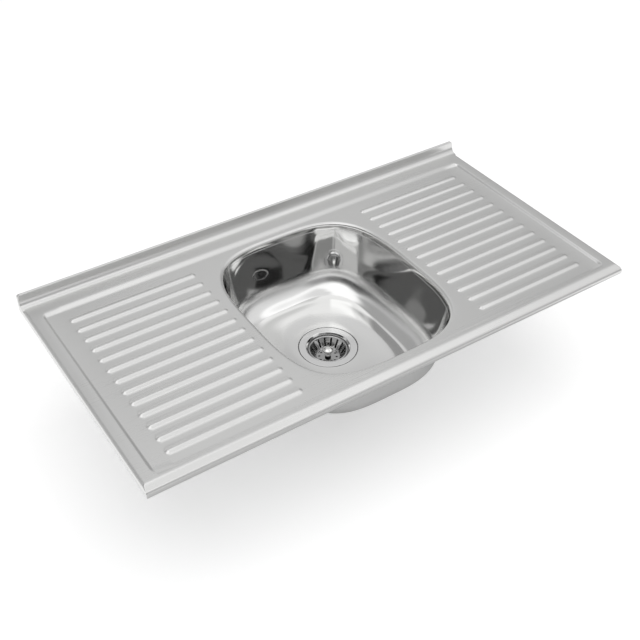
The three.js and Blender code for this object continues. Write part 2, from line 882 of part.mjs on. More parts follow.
function makeSlipNut() {
  const corners = [];
  for (let k = 0; k < slipNutSides; k++) {
    const angle = (k + 0.5) * 2 * Math.PI / slipNutSides;
    corners.push([slipNutRadius * Math.cos(angle), slipNutRadius * Math.sin(angle), 0]);
  }
  const lipTop = slipNutBottom + slipNutLip;
  const bore = revolve([
    [0, slipNutBottom - overshoot],
    [tailRadius + seatGap, slipNutBottom - overshoot],
    [tailRadius + seatGap, lipTop],
    [neckRadius + seatGap, lipTop],
    [neckRadius + seatGap, slipNutBottom + slipNutHeight + overshoot],
    [0, slipNutBottom + slipNutHeight + overshoot],
  ]);
  return extrudeZ(corners, slipNutBottom, slipNutBottom + slipNutHeight).subtract(bore);
}

// ---------------------------------------------------------------------------
// Finishes and assembly
// ---------------------------------------------------------------------------

const satinSteel = { color: 0xc4c4c3, roughness: 0.38, metalness: 1 };
const polishedSteel = { color: 0xd2d2d1, roughness: 0.1, metalness: 1 };
const galvanisedSteel = { color: 0xa9acae, roughness: 0.5, metalness: 1 };
const castZinc = { color: 0x9a9c9d, roughness: 0.45, metalness: 1 };
const blackRubber = { color: 0x1c1c1c, roughness: 0.75, metalness: 0 };
const greyFoam = { color: 0x6f7173, roughness: 0.9, metalness: 0 };
const fibreCard = { color: 0x8a5a3a, roughness: 0.85, metalness: 0 };
const whitePlastic = { color: 0xe6e6e2, roughness: 0.45, metalness: 0 };
const bitumen = { color: 0x2b2b2c, roughness: 0.95, metalness: 0 };

function piece(name, solid, finish) {
  const mesh = new THREE.Mesh(geometryOf(solid), new THREE.MeshStandardMaterial(finish));
  mesh.name = name;
  return mesh;
}

const sink = new THREE.Group();
sink.add(piece('drainer_top', makeDrainerTop(), satinSteel));
sink.add(piece('bowl', makeBowl(), polishedSteel));

for (const [sideName, side] of [['left', -1], ['right', 1]]) {
  for (const [placeName, share] of [['inner', channelPlaces[0]], ['outer', channelPlaces[1]]]) {
    const x = side * THREE.MathUtils.lerp(ribInnerEnd, ribOuterEnd, share);
    sink.add(piece(`${placeName}_channel_${sideName}`, makeChannel(x), galvanisedSteel));
  }
  for (const [edgeName, edge] of [['front', -1], ['back', 1]]) {
    sink.add(piece(`gusset_${edgeName}_${sideName}`, makeGusset(side, edge), galvanisedSteel));
  }
  sink.add(piece(`wall_pad_${sideName}`, makeWallPad(side), bitumen));
  sink.add(piece(`floor_pad_${sideName}`, makeFloorPad(side), bitumen));
}

const waste = new THREE.Group();
waste.position.set(0, drainMiddle, seatLevel);
waste.add(piece('strainer_body', makeStrainerBody(), polishedSteel));
waste.add(piece(
  'flange_seal',
  ring(drainHoleRadius + threadClearance, sealRadius, seatGap, seatGap + sealThickness), greyFoam,
));
waste.add(piece(
  'under_gasket',
  ring(ringBore, gasketRadius, gasketTop - gasketThickness, gasketTop), blackRubber,
));
waste.add(piece(
  'friction_ring',
  ring(ringBore, gasketRadius, fibreTop - fibreThickness, fibreTop), fibreCard,
));
waste.add(piece('locknut', makeLocknut(), castZinc));
waste.add(piece('outlet_spider', makeSpider(), polishedSteel));
waste.add(piece(
  'tailpiece_washer',
  ring(mouthRadius, tailFlangeRadius, washerTop - washerThickness, washerTop), whitePlastic,
));
waste.add(piece('tailpiece', makeTailpiece(), whitePlastic));
waste.add(piece('slip_nut', makeSlipNut(), whitePlastic));

const liftOutBasket = new THREE.Group();
liftOutBasket.add(piece('basket', makeBasket(), polishedSteel));
liftOutBasket.add(piece('stem_ring', makeStemRing(), blackRubber));

const stopper = new THREE.Group();
stopper.add(piece('strainer_knob', makeKnob(), polishedSteel));
stopper.add(piece('stopper_stem', makeStem(), polishedSteel));
stopper.add(piece(
  'stopper_plate', ring(stemBore, plateRadius, plateBottom, plateTop, smallSteps), polishedSteel,
));
stopper.add(piece(
  'stopper_seal', ring(stemBore, stopperRadius, sealBottom, sealTop), blackRubber,
));
stopper.add(piece('stem_nut', makeStemNut(), polishedSteel));

liftOutBasket.add(stopper);
waste.add(liftOutBasket);
sink.add(waste);

export default sink;
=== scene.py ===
"""Lay-on kitchen sink with two drainboards: fine surfaces, finishes and a plain studio.

Every piece is a surface worked out from its sizes, in metres, in the frame of the solid model:
X runs left to right, Y from the front edge to the upstand, Z up from the plane of the hem.
"""

import math

import bpy
import numpy as np
from bpy.props import FloatProperty, FloatVectorProperty, IntProperty, PointerProperty
from mathutils import Matrix, Vector


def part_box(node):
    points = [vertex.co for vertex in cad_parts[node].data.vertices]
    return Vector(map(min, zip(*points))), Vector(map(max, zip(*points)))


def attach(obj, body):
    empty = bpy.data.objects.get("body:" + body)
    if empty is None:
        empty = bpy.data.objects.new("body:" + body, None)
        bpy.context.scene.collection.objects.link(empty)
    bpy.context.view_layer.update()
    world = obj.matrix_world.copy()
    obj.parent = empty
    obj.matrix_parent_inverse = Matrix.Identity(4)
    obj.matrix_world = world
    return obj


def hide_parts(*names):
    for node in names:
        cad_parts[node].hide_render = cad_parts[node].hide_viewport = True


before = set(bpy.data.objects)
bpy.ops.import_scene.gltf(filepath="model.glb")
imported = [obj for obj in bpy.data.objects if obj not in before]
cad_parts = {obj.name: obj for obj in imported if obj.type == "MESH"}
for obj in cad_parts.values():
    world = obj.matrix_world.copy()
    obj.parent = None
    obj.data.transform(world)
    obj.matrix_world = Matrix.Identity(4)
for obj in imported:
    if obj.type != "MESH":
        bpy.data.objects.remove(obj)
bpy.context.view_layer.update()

bl_info = {
    "name": "Kitchen sink with drainboards",
    "version": (1, 0, 0),
    "blender": (4, 5, 0),
    "location": "3D View > Sidebar > Sink",
    "description": "Builds a lay-on sink top, its bowl, its basket strainer waste and a studio",
    "category": "Mesh",
}

MM = 0.001
GAP = 0.3 * MM          # between pieces that rest on each other
ROUND = 0.4 * MM        # soft edge of turned steel
EDGE = 0.6 * MM         # strip along a cut edge; past it, the shading doesn't feel the edge
BEYOND = 20 * MM        # from a profile's end to a helping point past it
THREAD_PITCH, THREAD_DEPTH = 2 * MM, 0.6 * MM
CHANNEL_STEEL, CHANNEL_FLANGE = 1.0 * MM, 10 * MM
KNOB_DROP = 3.5 * MM    # from the flange down to the knob
STOPPER = 3.5 * MM      # thickness of the stopper's rubber
STEM_TAIL = 13 * MM     # from the rubber down to the stem's end
WASHER = 2 * MM         # thickness of the washer on the tailpiece

TOP_LOW, TOP_HIGH = (np.array(corner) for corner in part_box("drainer_top"))
FLANGE_LOW, FLANGE_HIGH = (np.array(corner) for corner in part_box("strainer_body"))
SAME_POINT = 2e-7       # points on one grid place of this size become one point
WASTE = (FLANGE_LOW + FLANGE_HIGH)[:2] / 2      # x and y of the waste's axis


# --- Sizes and colours ---

def size(default, description):
    """A length in metres, given in millimetres."""
    return FloatProperty(description=description, default=default * MM, unit="LENGTH",
                         precision=5)


def radians(default, description):
    """An angle in radians."""
    return FloatProperty(description=description, default=default, subtype="ANGLE")


def integer(default, description, least):
    """A whole number."""
    return IntProperty(description=description, default=default, min=least)


def share(default, description, top=1.0):
    """A plain number."""
    return FloatProperty(description=description, default=default, min=0.0, max=top)


def tone(default, description):
    """A colour in linear light."""
    return FloatVectorProperty(description=description, default=default, subtype="COLOR",
                               size=3, min=0.0, max=1.0)


def named(group):
    """Gives each property of a group the name of its attribute, in words."""
    for attribute, prop in group.__annotations__.items():
        prop.keywords["name"] = attribute.replace("_", " ").capitalize()
    return group


@named
class SinkTopSizes(bpy.types.PropertyGroup):
    """The pressed top sheet."""
    sheet: size(0.8, "Thickness of the stainless sheet")
    rim_level: size(15, "From the hem's underside up to the rim")
    hem: size(14, "Width of the flange turned inwards under the edge")
    end_roll: size(6, "Radius of the left and right edges")
    nose_depth: size(15, "Width of the slope along the front edge")
    nose_drop: size(5.5, "Fall of that slope")
    nose_radius: size(20, "Radius between the rim and the slope")
    front_roll: size(8, "Radius of the front edge below the slope")
    upstand: size(24, "Height of the upstand above the rim")
    upstand_thickness: size(6, "Depth of the upstand at its top")
    upstand_lean: size(2.5, "How far the upstand's front face leans back")
    upstand_roll: size(2.8, "Radius along the upstand's top")
    upstand_end_roll: size(7, "Radius of the upstand's two top corners")
    cove: size(14, "Radius between rim and upstand")
    side_rim: size(23, "Width of the rim at each end")
    front_rim: size(21, "Width of the rim along the front, with the nose")
    back_rim: size(22, "Flat strip between the field and the cove")
    field_drop: size(3, "How far the drainer field lies below the rim")
    field_run: size(7, "Width of the field's step at its left and right")
    field_front: size(10, "Width of its gentler step at the front")
    field_back: size(18, "Width of its gentler step at the back")
    field_corner: size(18, "Corner radius of the field")
    rib_pitch: size(30.5, "Distance between the ribs")
    rib_width: size(14, "Width of a rib at its foot")
    rib_height: size(2.4, "Height of a rib")
    rib_front_gap: size(37.5, "From the field's front edge to the first rib")
    rib_count: integer(13, "Ribs on each drainboard", 1)
    rib_inner: size(190, "From the middle of the top to the ribs' inner ends")
    rib_outer: size(441, "From the middle of the top to the ribs' outer ends")


@named
class SinkBowlSizes(bpy.types.PropertyGroup):
    """The drawn bowl and the lip round it."""
    length: size(342, "Inside length at the top of the walls")
    breadth: size(400, "Inside breadth at the top of the walls")
    setback: size(42, "From the front edge to the bowl's front wall")
    power: share(3.4, "Power of the superellipse in plan; higher is squarer", 12.0)
    lip_roll: size(7, "Radius where the field turns down into the bowl")
    collar_drop: size(7, "Straight part of the collar below the roll")
    depth: size(146, "From the rim to the outer edge of the floor")
    wall_angle: radians(math.radians(7.3), "Lean of the walls")
    floor_radius: size(50, "Radius between wall and floor")
    floor_fall: size(5, "Fall of the floor towards the waste")
    seat_radius: size(57.8, "Radius of the sinking for the strainer's flange")
    seat_drop: size(4, "Depth of that sinking")
    drain_hole: size(45, "Radius of the hole in the seat")


@named
class SinkStrainerSizes(bpy.types.PropertyGroup):
    """The strainer body, what clamps it to the bowl, and its outlet."""
    flange: size(57, "Radius of the flange in the drain seat")
    flange_steel: size(1.2, "Thickness of the flange")
    bevel: size(43.5, "Outer edge of the bevel into the cup")
    bevel_drop: size(3.5, "Height of that bevel")
    cup: size(40, "Inside of the cup above its ledge")
    ledge_drop: size(6, "From the flange down to the ledge under the basket")
    ledge: size(2.5, "Width of that ledge")
    thread: size(41.4, "Outside of the thread")
    thread_drop: size(24, "From the flange down to the end of the thread")
    cup_wall: size(1.4, "Thickness of the cup")
    cup_depth: size(41, "From the flange down to the stopper's seat")
    cup_cone: size(9, "Height of the cone above that seat")
    mouth: size(19, "Bore of the neck")
    land: size(9, "Width of the flat seat round the mouth")
    neck: size(23.8, "Outside of the neck")
    neck_length: size(24, "From the stopper's seat down to the neck's end")
    seal_thickness: size(1.6, "Of the soft ring under the flange")
    seal: size(56, "Outside of the soft ring")
    gasket_thickness: size(3, "Of the rubber ring under the bowl")
    fibre_thickness: size(1, "Of the friction ring")
    locknut: size(51, "Outside of the locknut between its lugs")
    locknut_height: size(10, "Height of the locknut")
    lug_reach: size(5, "How far a lug stands out")
    lug_width: size(9, "Width of a lug")
    lugs: integer(8, "Lugs round the locknut", 3)
    tail: size(19, "Outside of the tailpiece")
    tail_wall: size(1.2, "Thickness of the tailpiece")
    tail_length: size(60, "Length of the tailpiece")
    tail_flange: size(22.8, "Radius of the tailpiece's flange")
    slip_nut: size(30, "Across the slip nut's corners, halved")
    slip_nut_height: size(20, "Height of the slip nut")


@named
class SinkBasketSizes(bpy.types.PropertyGroup):
    """The lift-out basket, the knob and the stopper under it."""
    steel: size(0.8, "Thickness of the basket's sheet")
    rim: size(3.2, "Width of the basket's rim")
    depth: size(20, "From the rim down to the basket's floor")
    floor: size(24, "Radius of the basket's floor")
    clearance: size(0.7, "Between the rim and the cup")
    slots: integer(16, "Slots round the wall", 4)
    slot_width: size(3.0, "Width of a slot")
    holes: integer(10, "Holes in the floor", 3)
    hole: size(1.8, "Radius of a hole in the floor")
    hole_circle: size(17, "Radius on which the holes lie")
    stem: size(3, "Radius of the stem")
    knob: size(10.5, "Radius of the knob's head")
    knob_waist: size(5, "Radius of the knob's waist")
    knob_height: size(17, "Height of the knob")
    knob_head: size(7, "Height of the knob's head")
    stopper: size(25, "Radius of the stopper's rubber disc")
    plate: size(21, "Radius of the disc that backs the rubber")
    nut: size(5.5, "Across the stem nut's corners, halved")


@named
class SinkFinishes(bpy.types.PropertyGroup):
    """Colours and gloss."""
    satin_steel: tone((0.725, 0.725, 0.718), "Colour of the brushed top")
    satin_roughness: share(0.3, "Roughness of the brushed top")
    bowl_steel: tone((0.785, 0.785, 0.78), "Colour of the drawn bowl")
    bowl_roughness: share(0.03, "Roughness of the bowl's walls")
    floor_roughness: share(0.1, "Roughness of the bowl's floor")
    polished_steel: tone((0.8, 0.8, 0.79), "Colour of the strainer")
    galvanised: tone((0.47, 0.49, 0.5), "Colour of stiffeners and gussets")
    zinc: tone((0.42, 0.43, 0.44), "Colour of the locknut")
    bitumen: tone((0.022, 0.022, 0.023), "Colour of the damping pads")
    rubber: tone((0.018, 0.018, 0.018), "Colour of the gasket and the stopper seal")
    foam: tone((0.13, 0.135, 0.14), "Colour of the seal under the flange")
    fibre: tone((0.24, 0.12, 0.055), "Colour of the friction ring")
    plastic: tone((0.74, 0.74, 0.71), "Colour of tailpiece and slip nut")


@named
class SinkStudio(bpy.types.PropertyGroup):
    """Floor, light and camera."""
    floor_level: size(-266, "Height of the studio floor")
    lens: FloatProperty(description="Focal length in millimetres", default=54.949)
    camera_place: FloatVectorProperty(description="Place of the camera", unit="LENGTH",
                                      default=(-0.816906, -1.157163, 1.133372),
                                      subtype="TRANSLATION")
    camera_yaw: radians(-0.603, "Turn about the vertical")
    camera_pitch: radians(0.704, "Angle below the horizon")
    camera_roll: radians(0.017, "Turn about the line of sight")


# --- Meshes from arrays ---

def grid_quads(rows, columns, closed=False):
    """Quads of a grid, each listed as this point, the next along the row, the one above that
    and the one above this; closed joins the last column to the first."""
    row = np.arange(rows - 1)[:, None] * columns
    column = np.arange(columns if closed else columns - 1)[None, :]
    following = (column + 1) % columns
    corners = [row + column, row + following, row + columns + following, row + columns + column]
    return np.stack(corners, axis=-1).reshape(-1, 4)


def weld(patches):
    """Joins (points, faces) patches and gives points that coincide one number."""
    points = np.concatenate([np.asarray(p, float).reshape(-1, 3) for p, _ in patches])
    counts = np.cumsum([0] + [np.asarray(p).size // 3 for p, _ in patches])
    faces = np.concatenate([f + start for (_, f), start in zip(patches, counts)])
    keys = np.round(points / SAME_POINT).astype(np.int64)
    _, first, number = np.unique(keys, axis=0, return_index=True, return_inverse=True)
    return points[first], number.reshape(-1)[faces]


def clean_faces(faces):
    """Quads stay whole, a quad with two equal neighbours becomes a triangle, thinner ones go."""
    same = faces == np.roll(faces, -1, axis=1)
    crossed = (faces[:, 0] == faces[:, 2]) | (faces[:, 1] == faces[:, 3])
    whole = faces[(same.sum(axis=1) == 0) & ~crossed].tolist()
    pinched = faces[(same.sum(axis=1) == 1) & ~crossed]
    kept = ~same[(same.sum(axis=1) == 1) & ~crossed]
    return whole + [[int(v) for v in face[keep]] for face, keep in zip(pinched, kept)]


def filled(points, widest):
    """A row of points, with more put evenly into each gap wider than the widest allowed."""
    points = np.asarray(points, float)
    gaps = np.linalg.norm(np.diff(points, axis=0), axis=1)
    counts = np.maximum(np.ceil(gaps / widest - 1e-6), 1).astype(int)
    order = np.arange(counts.sum()) - np.repeat(np.cumsum(counts) - counts, counts)
    share_of_gap = (order / np.repeat(counts, counts))[:, None]
    starts, ends = np.repeat(points[:-1], counts, axis=0), np.repeat(points[1:], counts, axis=0)
    return np.concatenate([starts + (ends - starts) * share_of_gap, points[-1:]])


def new_object(name, data):
    """An object with its data, in the scene."""
    made = bpy.data.objects.new(name, data)
    bpy.context.scene.collection.objects.link(made)
    return made


def make_piece(name, patches, finish, body, node, wall=0.0, sharp=35.0):
    """A mesh object from patches, on its body, with its finish, in place of a node of the solid
    model. A wall thickens it inwards."""
    points, faces = weld(patches)
    mesh = bpy.data.meshes.new(name)
    mesh.from_pydata(points.tolist(), [], clean_faces(faces))
    mesh.validate()
    mesh.shade_smooth()
    mesh.set_sharp_from_angle(angle=math.radians(sharp))
    mesh.materials.append(finish)
    piece = new_object(name, mesh)
    if wall:
        thickness = piece.modifiers.new("Sheet", "SOLIDIFY")
        thickness.thickness = wall
        thickness.offset = -1.0
        thickness.use_even_offset = True
        thickness.use_quality_normals = True
    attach(piece, body)
    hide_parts(node)
    return piece


def dress_node(node, finish):
    """Gives a node of the solid model a finish."""
    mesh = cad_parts[node].data
    mesh.materials.clear()
    mesh.materials.append(finish)


def on_circle(angle):
    """(cos, sin) of each angle."""
    return np.stack([np.cos(angle), np.sin(angle)], axis=-1)


def at_level(plan, z):
    """(x, y) rows, all at one height."""
    return np.column_stack([plan, np.full(len(plan), z)])


def round_waste(radius, angle, height):
    """Points round the waste's axis: x = radius cos(angle), y = radius sin(angle), z = height."""
    return np.stack([WASTE[0] + radius * np.cos(angle), WASTE[1] + radius * np.sin(angle),
                     np.broadcast_to(height, np.broadcast(radius, angle).shape)], axis=-1)


def rounded(corners, steps=6, closed=True):
    """A profile with round corners, from (across, up, radius) rows. Each arc touches both sides
    at radius / tan(half the corner's angle) from the corner."""
    corners = [np.array(c, float) for c in corners]
    points = []
    for i, corner in enumerate(corners):
        here, radius = corner[:2], corner[2]
        if radius <= 0 or (not closed and i in (0, len(corners) - 1)):
            points.append(here[None, :])
            continue
        back = corners[i - 1][:2] - here
        ahead = corners[(i + 1) % len(corners)][:2] - here
        back, ahead = back / np.linalg.norm(back), ahead / np.linalg.norm(ahead)
        half = np.arccos(np.clip(back @ ahead, -1, 1)) / 2
        middle = here + (back + ahead) / np.linalg.norm(back + ahead) * radius / np.sin(half)
        start = here + back * radius / np.tan(half) - middle
        end = here + ahead * radius / np.tan(half) - middle
        angle = np.arctan2(start[1], start[0])
        turn = (np.arctan2(end[1], end[0]) - angle + np.pi) % (2 * np.pi) - np.pi
        points.append(middle + radius * on_circle(angle + turn * np.linspace(0, 1, steps + 1)))
    return np.concatenate(points)


def turned(profile, steps=96, closed=False):
    """A profile of (radius, height) turned round the waste's axis."""
    if closed:
        profile = np.concatenate([profile, profile[:1]])
    angle = np.linspace(0, 2 * np.pi, steps, endpoint=False)
    return (round_waste(profile[:, :1], angle, profile[:, 1:]),
            grid_quads(len(profile), steps, closed=True))


# --- The top sheet ---

def smooth(t):
    """The S-curve 3 t^2 - 2 t^3 on 0 to 1."""
    t = np.clip(t, 0, 1)
    return t * t * (3 - 2 * t)


def depth_inside(x, y, half_x, half_y, radius):
    """How far a point lies inside a rounded rectangle round the origin: the radius less the
    distance from the rectangle that the corner centres span."""
    over_x, over_y = np.abs(x) - (half_x - radius), np.abs(y) - (half_y - radius)
    beyond = np.hypot(np.maximum(over_x, 0), np.maximum(over_y, 0))
    return radius - beyond - np.minimum(np.maximum(over_x, over_y), 0)


def nose_profile(top):
    """(y, z) from the front face over the rolled edge and its slope to the rim."""
    front = TOP_LOW[1]
    edge = (front, top.rim_level - top.nose_drop)
    rim = (front + top.nose_depth, top.rim_level)
    roll = rounded([(front, 0, 0), (*edge, top.front_roll), (*rim, 0)], 8, closed=False)[1:-1]
    bend = rounded([(*edge, 0), (*rim, top.nose_radius), (rim[0] + BEYOND, rim[1], 0)], 8,
                   closed=False)[1:-1]
    on_slope = np.array([0.12, 0.5, 0.88])[:, None]     # rows near its ends and in its middle
    slope = roll[-1] + (bend[0] - roll[-1]) * on_slope
    return np.concatenate([roll, slope, bend])


def upstand_profile(top):
    """(y, z) from the cove's start over the upstand to its back face, and the cove's start."""
    back, head = TOP_HIGH[1], top.rim_level + top.upstand
    foot = back - top.upstand_thickness - top.upstand_lean
    start = foot - top.cove * math.tan(math.atan2(top.upstand, top.upstand_lean) / 2)
    outline = rounded([
        (start - BEYOND, top.rim_level, 0), (foot, top.rim_level, top.cove),
        (back - top.upstand_thickness, head, top.upstand_roll),
        (back, head, top.upstand_roll), (back, head - BEYOND, 0),
    ], steps=9, closed=False)
    return outline[1:-1], start


def field_extent(top):
    """The drainer field's half length, half depth and middle."""
    _, cove_start = upstand_profile(top)
    front, back = TOP_LOW[1] + top.front_rim, cove_start - top.back_rim
    return TOP_HIGH[0] - top.side_rim, (back - front) / 2, (back + front) / 2


def rib_places(top):
    """The y of each rib's middle."""
    first = TOP_LOW[1] + top.front_rim + top.rib_front_gap
    return first + np.arange(top.rib_count) * top.rib_pitch


def step_width(top, x, y):
    """Width of the field's step: field_run at the sides, field_front or field_back along the
    front or back, and round the corners mixed by the square of the direction's y part."""
    half_x, half_y, _ = field_extent(top)
    over_x = np.maximum(np.abs(x) - (half_x - top.field_corner), 0)
    over_y = np.maximum(np.abs(y) - (half_y - top.field_corner), 0)
    share_y = over_y ** 2 / np.maximum(over_x ** 2 + over_y ** 2, 1e-12)
    gentle = np.where(y < 0, top.field_front, top.field_back)
    return top.field_run + (gentle - top.field_run) * share_y


def field_height(top, x, y):
    """Height of the deck: the rim, less the S-shaped step by the depth inside the field's
    outline, plus on each rib a crown 1 - s^2 with a soft foot, where s is the distance from
    the rib's middle line over half its width."""
    half_x, half_y, middle = field_extent(top)
    inside = depth_inside(x, y - middle, half_x, half_y, top.field_corner)
    height = top.rim_level - top.field_drop * smooth(inside / step_width(top, x, y - middle))
    places = rib_places(top)
    nearest = np.clip(np.round((y - places[0]) / top.rib_pitch), 0, top.rib_count - 1)
    across = np.abs(y - places[0] - nearest * top.rib_pitch)
    reach = (top.rib_outer - top.rib_inner) / 2 - top.rib_width / 2
    beyond = np.abs(np.abs(x) - (top.rib_outer + top.rib_inner) / 2) - reach
    s = np.clip(np.hypot(across, np.maximum(beyond, 0)) / (top.rib_width / 2), 0, 1)
    return height + top.rib_height * (1 - s * s) ** 1.6


def end_limit(x, level, radius):
    """Height of the rolled ends: level - radius + sqrt(radius^2 - overrun^2)."""
    over = np.clip(np.abs(x) - (TOP_HIGH[0] - radius), 0, radius)
    return level - radius + np.sqrt(np.maximum(radius * radius - over * over, 0))


def bowl_frame(bowl):
    """Half length, half breadth and middle of the bowl's plan at the top of the walls."""
    return bowl.length / 2, bowl.breadth / 2, TOP_LOW[1] + bowl.setback + bowl.breadth / 2


def opening_frame(top, bowl):
    """The plain rectangle of deck that is left out round the bowl, halfway between the lip and
    what lies next to it: its half length, its front and its back."""
    half_x, half_y, middle = bowl_frame(bowl)
    _, field_half, field_middle = field_extent(top)
    step_front = field_middle - field_half + top.field_front
    step_back = field_middle + field_half - top.field_back
    reach = half_y + bowl.lip_roll
    return ((half_x + bowl.lip_roll + top.rib_inner) / 2,
            (middle - reach + step_front) / 2, (middle + reach + step_back) / 2)


def apart(lines, least=0.2 * MM):
    """Sorted lines, each at least so far from the one before."""
    lines = np.sort(lines)
    return np.append(lines[:-1][np.diff(lines) > least], lines[-1])


def sheet_columns(top, hole):
    """x of the grid lines: even ones over the opening, then the ribs' round ends, the step and
    the rolled end, mirrored."""
    edge, half_x = TOP_HIGH[0], TOP_HIGH[0] - top.side_rim
    end = top.rib_width / 2
    turn = np.linspace(0, np.pi / 2, 7)
    right = apart(np.concatenate([
        [hole[0]], top.rib_inner + end * (1 - np.cos(turn)),
        np.linspace(top.rib_inner + end, top.rib_outer - end, 8),
        top.rib_outer - end + end * np.sin(turn),
        np.linspace(half_x - top.field_run, half_x, 11), [(half_x + edge) / 2 - 2 * MM],
        edge - top.upstand_end_roll * (1 - np.sin(np.linspace(0, np.pi / 2, 11))),
    ]))
    middle = np.linspace(-hole[0], hole[0], 73)[1:-1]
    return np.concatenate([-right[::-1], middle, right])


def sheet_rows(top, hole):
    """y and z of the grid rows from the front edge over the upstand, and the deck's count."""
    widest, clear_of_hole, clear_of_cove = 6 * MM, 0.5 * MM, 1.6 * MM
    _, field_half, field_middle = field_extent(top)
    front, back = field_middle - field_half, field_middle + field_half
    ribs = rib_places(top)[:, None] + np.linspace(-1, 1, 11) * top.rib_width / 2
    steps = np.linspace(0, 1, 13)
    nose = nose_profile(top)
    outline, cove_start = upstand_profile(top)
    wanted = np.concatenate([ribs.ravel(), front + steps * top.field_front,
                             back - steps * top.field_back, [cove_start - clear_of_cove]])
    from_hole = np.min(np.abs(wanted[:, None] - np.array(hole[1:])), axis=1)
    lines = apart(np.concatenate([wanted[from_hole > clear_of_hole], hole[1:]]))
    deck = filled(lines[:, None], widest)[:, 0]
    y = np.concatenate([nose[:, 0], deck, outline[:, 0]])
    z = np.concatenate([nose[:, 1], np.full(len(deck), top.rim_level), outline[:, 1]])
    return y, z, len(nose) + len(deck)


def sheet_grid(top, hole):
    """Nose, deck, cove and upstand as one grid with straight lines."""
    profile_y, profile_z, deck_rows = sheet_rows(top, hole)
    x, y = np.meshgrid(sheet_columns(top, hole), profile_y)
    z = profile_z[:, None]
    low = end_limit(x, top.rim_level, top.end_roll)
    tall = end_limit(x, top.rim_level + top.upstand, top.upstand_end_roll)
    deck = np.minimum(np.minimum(field_height(top, x, y), low), z)
    is_deck = np.arange(len(profile_y))[:, None] < deck_rows
    return np.stack([x, y, np.where(is_deck, deck, np.minimum(tall, z))], axis=-1)


def unit_plan(bowl, way):
    """Points of the superellipse |u|^n + |v|^n = 1 in the directions given: the direction
    divided by (|u|^n + |v|^n)^(1/n)."""
    return way / (np.abs(way) ** bowl.power).sum(axis=1, keepdims=True) ** (1 / bowl.power)


def bowl_ring(bowl, unit, inset, z):
    """The bowl's plan at one height: the unit plan times the half axes less an inset."""
    half_x, half_y, middle = bowl_frame(bowl)
    return at_level((0, middle) + unit * (half_x - inset, half_y - inset), z)


def weld_place(top, bowl):
    """The weld's height, and how far in from the bowl's plan the sheet has come there: the
    collar and the rest of the lip's circle run down at the wall's lean."""
    lean, roll = bowl.wall_angle, bowl.lip_roll
    level = top.rim_level - top.field_drop - roll - bowl.collar_drop
    straight = bowl.collar_drop + roll * math.sin(lean)
    return level, straight * math.tan(lean) - roll * (1 - math.cos(lean))


def lip_rings(top, bowl, border):
    """From the border of the opening to the lip in straight lines, round the lip's circle until
    it has the wall's lean, and down the collar."""
    lean, roll = bowl.wall_angle, bowl.lip_roll
    level = top.rim_level - top.field_drop
    half_x, half_y, middle = bowl_frame(bowl)
    unit = unit_plan(bowl, (border[:, :2] - (0, middle)) / (half_x + roll, half_y + roll))
    lip = bowl_ring(bowl, unit, -roll, level)
    rings = [border + (lip - border) * t for t in np.linspace(0, 1, 6)[:-1]]
    for turn in np.linspace(0, np.pi / 2 - lean, 11):
        rings.append(bowl_ring(bowl, unit, roll * (math.sin(turn) - 1),
                               level - roll * (1 - math.cos(turn))))
    weld_level, inset = weld_place(top, bowl)
    for above in (EDGE, 0):
        rings.append(bowl_ring(bowl, unit, inset - above * math.tan(lean), weld_level + above))
    return np.stack(rings)


def skirt_rings(top, border):
    """The folded edge: straight down from the sheet's border, a small fold, and the hem."""
    fold = 1.2 * MM
    turn = np.linspace(0, np.pi / 2, 4)
    insets = [*(fold * (1 - np.cos(turn))), top.hem]
    heights = [*(fold * (1 - np.sin(turn))), 0.0]
    rings = [border]
    for inset, z in zip(insets, heights):
        rings.append(at_level(
            np.clip(border[:, :2], TOP_LOW[:2] + inset, TOP_HIGH[:2] - inset), z))
    return np.stack(rings)


def round_border(grid):
    """The points round a grid as one closed row."""
    return np.concatenate([grid[0, :-1], grid[:-1, -1], grid[-1, :0:-1], grid[:0:-1, 0]])


def top_sheet_patches(top, bowl):
    """Deck, lip and folded edge, joined along their shared outlines."""
    hole = opening_frame(top, bowl)
    grid = sheet_grid(top, hole)
    middle = (grid[:-1, :-1] + grid[1:, 1:]) / 2
    open_x = np.abs(middle[..., 0]) < hole[0]
    open_y = (middle[..., 1] > hole[1]) & (middle[..., 1] < hole[2])
    quads = grid_quads(*grid.shape[:2])[~(open_x & open_y).ravel()]
    columns = np.abs(grid[0, :, 0]) < hole[0] + SAME_POINT
    rows = (grid[:, 0, 1] > hole[1] - SAME_POINT) & (grid[:, 0, 1] < hole[2] + SAME_POINT)
    lip = lip_rings(top, bowl, round_border(grid[rows][:, columns]))
    skirt = skirt_rings(top, round_border(grid))
    return [(grid, quads), (lip, grid_quads(*lip.shape[:2], closed=True)),
            (skirt, grid_quads(*skirt.shape[:2], closed=True)[:, ::-1])]


# --- The bowl ---

